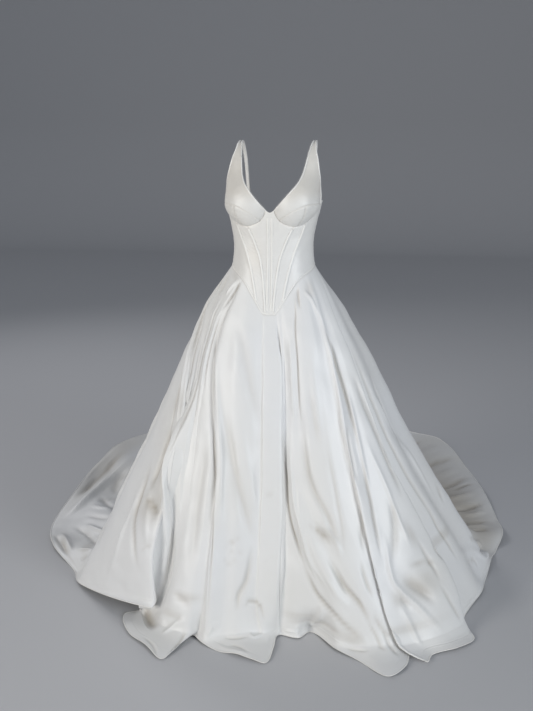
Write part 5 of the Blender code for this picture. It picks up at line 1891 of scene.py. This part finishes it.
@dataclass
class Skirt:
    """The full skirt: seven panels of one folded sheet with listed creases, and its hem's edge."""

    satin: bpy.types.Material
    bias: bpy.types.Material
    sheet: FoldSurface = FoldSurface()
    rows: int = 144
    fine: int = 40
    least_columns: int = 4
    thickness: float = 0.0016
    seam_dip: float = 0.0003
    seam_width: float = 0.0024
    facing: float = 0.024
    uneven: float = 0.0016
    deepest: float = 1.35
    plain_drop: float = 0.08
    wide_wave: float = 0.21
    narrow_wave: float = 0.075
    narrow_share: float = 0.45
    waist_shade: float = 0.5
    waist_reach: float = 0.005
    facing_crest: float = 0.0005
    crest_width: float = 0.0016
    facing_groove: float = 0.0004
    groove_place: float = 0.028
    groove_width: float = 0.002
    floor_gap: float = 0.0004
    hem_rest: float = 0.0018
    hem_half_width: float = 0.0017
    hem_half_height: float = 0.0013
    hem_sides: int = 8

    def drops(self) -> np.ndarray:
        """Rows down the skirt: closer together at the waist and where the cloth meets the floor."""
        return pchip(ROW_SHARES, ROW_DROPS, even(self.rows))

    def columns(self, panel: Panel) -> np.ndarray:
        """Places of a panel's columns: about evenly spaced in metres, and at least four to each fold.

        Args:
            panel: which panel.

        Returns:
            Fold lines counted from the back seam, with shares.
        """
        first, last = fold_count(panel.first), fold_count(panel.last)
        last += len(FOLDS) if last <= first else 0
        fine = np.linspace(first, last, self.fine * (last - first) + 1)
        line = self.sheet.grid(fine, DROPS[3:4])[0]
        step = np.linalg.norm(np.diff(line, axis=0), axis=1)
        spacing = np.interp(fine[1:], [first, last], panel.spacing) / 1000
        count = np.concatenate([[0], np.cumsum(step / spacing + self.least_columns * np.diff(fine))])
        return np.interp(even(round(count[-1])) * count[-1], count, fine)

    def panel_surface(self, panel: Panel) -> tuple[Points, np.ndarray]:
        """One panel's outside with its creases, seams and hem facing.

        Args:
            panel: which panel.

        Returns:
            Its points, rows going down, and how much painted shade each takes: in creases, patches and under
            the waist seam.
        """
        place = self.columns(panel)
        relief = Relief(self.sheet, place, self.drops())
        for crease in CREASES:
            relief.press(crease)
        for shade in SHADES:
            relief.shade(shade)
        points, rows = relief.points, relief.at[:, None]
        grow = np.clip(rows / self.plain_drop, 0, 1)
        narrow = self.narrow_share * ripple(points, self.narrow_wave, 4)
        relief.height += self.uneven * grow * (ripple(points, self.wide_wave, 3) + narrow)
        # Painted shadow under the bodice's edge along the skirt's top; all the painted shade is capped at
        # deepest
        waist = self.waist_shade * bell(border_distance(points, Border.BOTTOM), self.waist_reach)
        painted_shade = np.clip(np.maximum(relief.painted_shade, waist), 0, self.deepest)
        for border in (Border.LEFT, Border.RIGHT):
            near = bell(border_distance(points, border), self.seam_width)
            relief.height -= self.seam_dip * near * np.clip(1.2 - 3 * rows, 0, 1)
        hem = border_distance(points, Border.TOP)
        relief.height += self.facing_crest * bell(hem - self.facing, self.crest_width)
        relief.height -= self.facing_groove * bell(hem - self.groove_place, self.groove_width)
        return relief.pressed(), painted_shade

    def build(self) -> list[bpy.types.Object]:
        """Builds the panels and the hem's edge.

        Returns:
            The panels.
        """
        made, rims = [], []
        for panel in PANELS:
            points, painted_shade = self.panel_surface(panel)
            rims.append(points[-1, :-1])
            shown = leaned(points)
            floor = self.thickness + self.floor_gap - SHOULDER_HEIGHT
            shown[..., 2] = np.maximum(shown[..., 2], floor)
            name, depth = f"cloth_{panel.name}", painted_shade[::-1]
            cloth = cloth_piece(name, shown[::-1], self.satin, self.thickness, depth)
            made.append(ride(cloth, "satin", panel.name))
        rim = leaned(np.concatenate(rims))
        rim = np.concatenate([rim, rim[:1]])
        rim[:, 2] = np.maximum(rim[:, 2], self.hem_rest - SHOULDER_HEIGHT)
        up = np.tile([0.0, 0.0, 1.0], (len(rim), 1))
        round_rim = tube(rim, up, self.hem_half_width, self.hem_half_height, self.hem_sides)
        hem = cloth_piece("hem_edge", round_rim, self.bias, 0.0, closed=True)
        ride(hem, "piping")
        return made


@dataclass(frozen=True)
class Softbox:
    """A square studio light: where it stands, how wide it is, its power and its colour."""

    name: str
    place: Triple
    size: float
    power: float
    colour: Triple


SOFTBOXES = [
    Softbox("front_left", (-3.3, -3.7, 0.15), 1.9, 55.0, (1.0, 0.975, 0.935)),
    Softbox("front_right", (3.6, -3.5, 0.10), 1.9, 57.0, (0.91, 0.955, 1.0)),
    Softbox("back_left", (-3.4, 3.9, 2.2), 1.9, 30.0, (0.97, 0.97, 1.0)),
]


@dataclass(frozen=True)
class Studio:
    """Pale floor that turns up into a backdrop, soft lights, and a camera where the photograph was taken."""

    floor_colour: Triple = (0.55, 0.55, 0.56)
    floor_roughness: float = 0.85
    half_width: float = 9.0
    depth: float = 8.0
    front: float = 8.0
    bend: float = 1.6
    height: float = 4.5
    distance: float = 2.8
    eye: float = 1.55
    azimuth: float = 7.0
    tilt: float = 14.5
    turn: float = 0.00805
    lens: float = 45.67
    sensor: float = 36.0
    clip: Pair = (0.05, 60.0)
    world: Triple = (0.60, 0.64, 0.71)
    world_strength: float = 0.36
    spread: float = 120.0
    aim: float = -0.30

    def build_floor(self) -> None:
        """Makes the floor: a profile of floor, quarter turn and wall, carried along X."""
        turn = even(24) * np.pi / 2
        low = -SHOULDER_HEIGHT
        back = self.depth + self.bend
        y = np.concatenate([[-self.front], self.depth + self.bend * np.sin(turn), [back]])
        z = np.concatenate([[low], low + self.bend * (1 - np.cos(turn)), [low + self.height]])
        x = np.array([-self.half_width, self.half_width])
        points = np.stack(np.broadcast_arrays(x[None], y[:, None], z[:, None]), -1)
        material = bpy.data.materials.new("studio_floor")
        material.use_nodes = True
        shader = material.node_tree.nodes["Principled BSDF"]
        shader.inputs["Base Color"].default_value = (*self.floor_colour, 1)
        shader.inputs["Roughness"].default_value = self.floor_roughness
        cloth_piece("studio_floor", points, material, 0.0)

    def build_lights(self) -> None:
        """Makes the world's soft light and the softboxes, all turned to the dress."""
        world = bpy.data.worlds.new("studio")
        world.use_nodes = True
        background = world.node_tree.nodes["Background"]
        background.inputs["Color"].default_value = (*self.world, 1)
        background.inputs["Strength"].default_value = self.world_strength
        bpy.context.scene.world = world
        for box in SOFTBOXES:
            light = bpy.data.lights.new(box.name, "AREA")
            light.shape, light.size, light.spread = "SQUARE", box.size, np.radians(self.spread)
            light.energy, light.color = box.power, box.colour
            made = bpy.data.objects.new(box.name, light)
            made.location = box.place
            aim = Vector((0.0, 0.0, self.aim)) - made.location
            made.rotation_euler = aim.to_track_quat("-Z", "Y").to_euler()
            bpy.context.scene.collection.objects.link(made)

    def build_camera(self) -> None:
        """Places the camera out from the skirt's axis, at the photo's azimuth and height, tilted down."""
        around = np.radians(self.azimuth)
        camera = bpy.data.cameras.new("camera")
        camera.lens, camera.sensor_width = self.lens, self.sensor
        camera.clip_start, camera.clip_end = self.clip
        made = bpy.data.objects.new("camera", camera)
        aside, back = self.distance * np.sin(around), self.distance * np.cos(around)
        made.location = (aside - LEAN, -back, self.eye - SHOULDER_HEIGHT)
        heading = np.arctan2(back, -aside) + self.turn
        made.rotation_euler = (np.pi / 2 - np.radians(self.tilt), 0.0, heading - np.pi / 2)
        bpy.context.scene.collection.objects.link(made)
        bpy.context.scene.camera = made

    def build(self) -> None:
        """Builds the floor, the lights and the camera, and shows colours as they are."""
        self.build_floor()
        self.build_lights()
        self.build_camera()
        bpy.context.scene.view_settings.view_transform = "Standard"


def main() -> None:
    """Builds the studio and the dress."""
    logging.basicConfig(level=logging.INFO)
    Studio().build()
    weave = weave_group()
    satin, bodice_satin = SATIN.build(weave), BODICE_SATIN.build(weave)
    bias, thread = BIAS_SATIN.build(weave), THREAD.build(weave)
    Bodice(bodice_satin, bias, thread).build()
    Skirt(satin, bias).build()


if __name__ == "__main__":
    main()
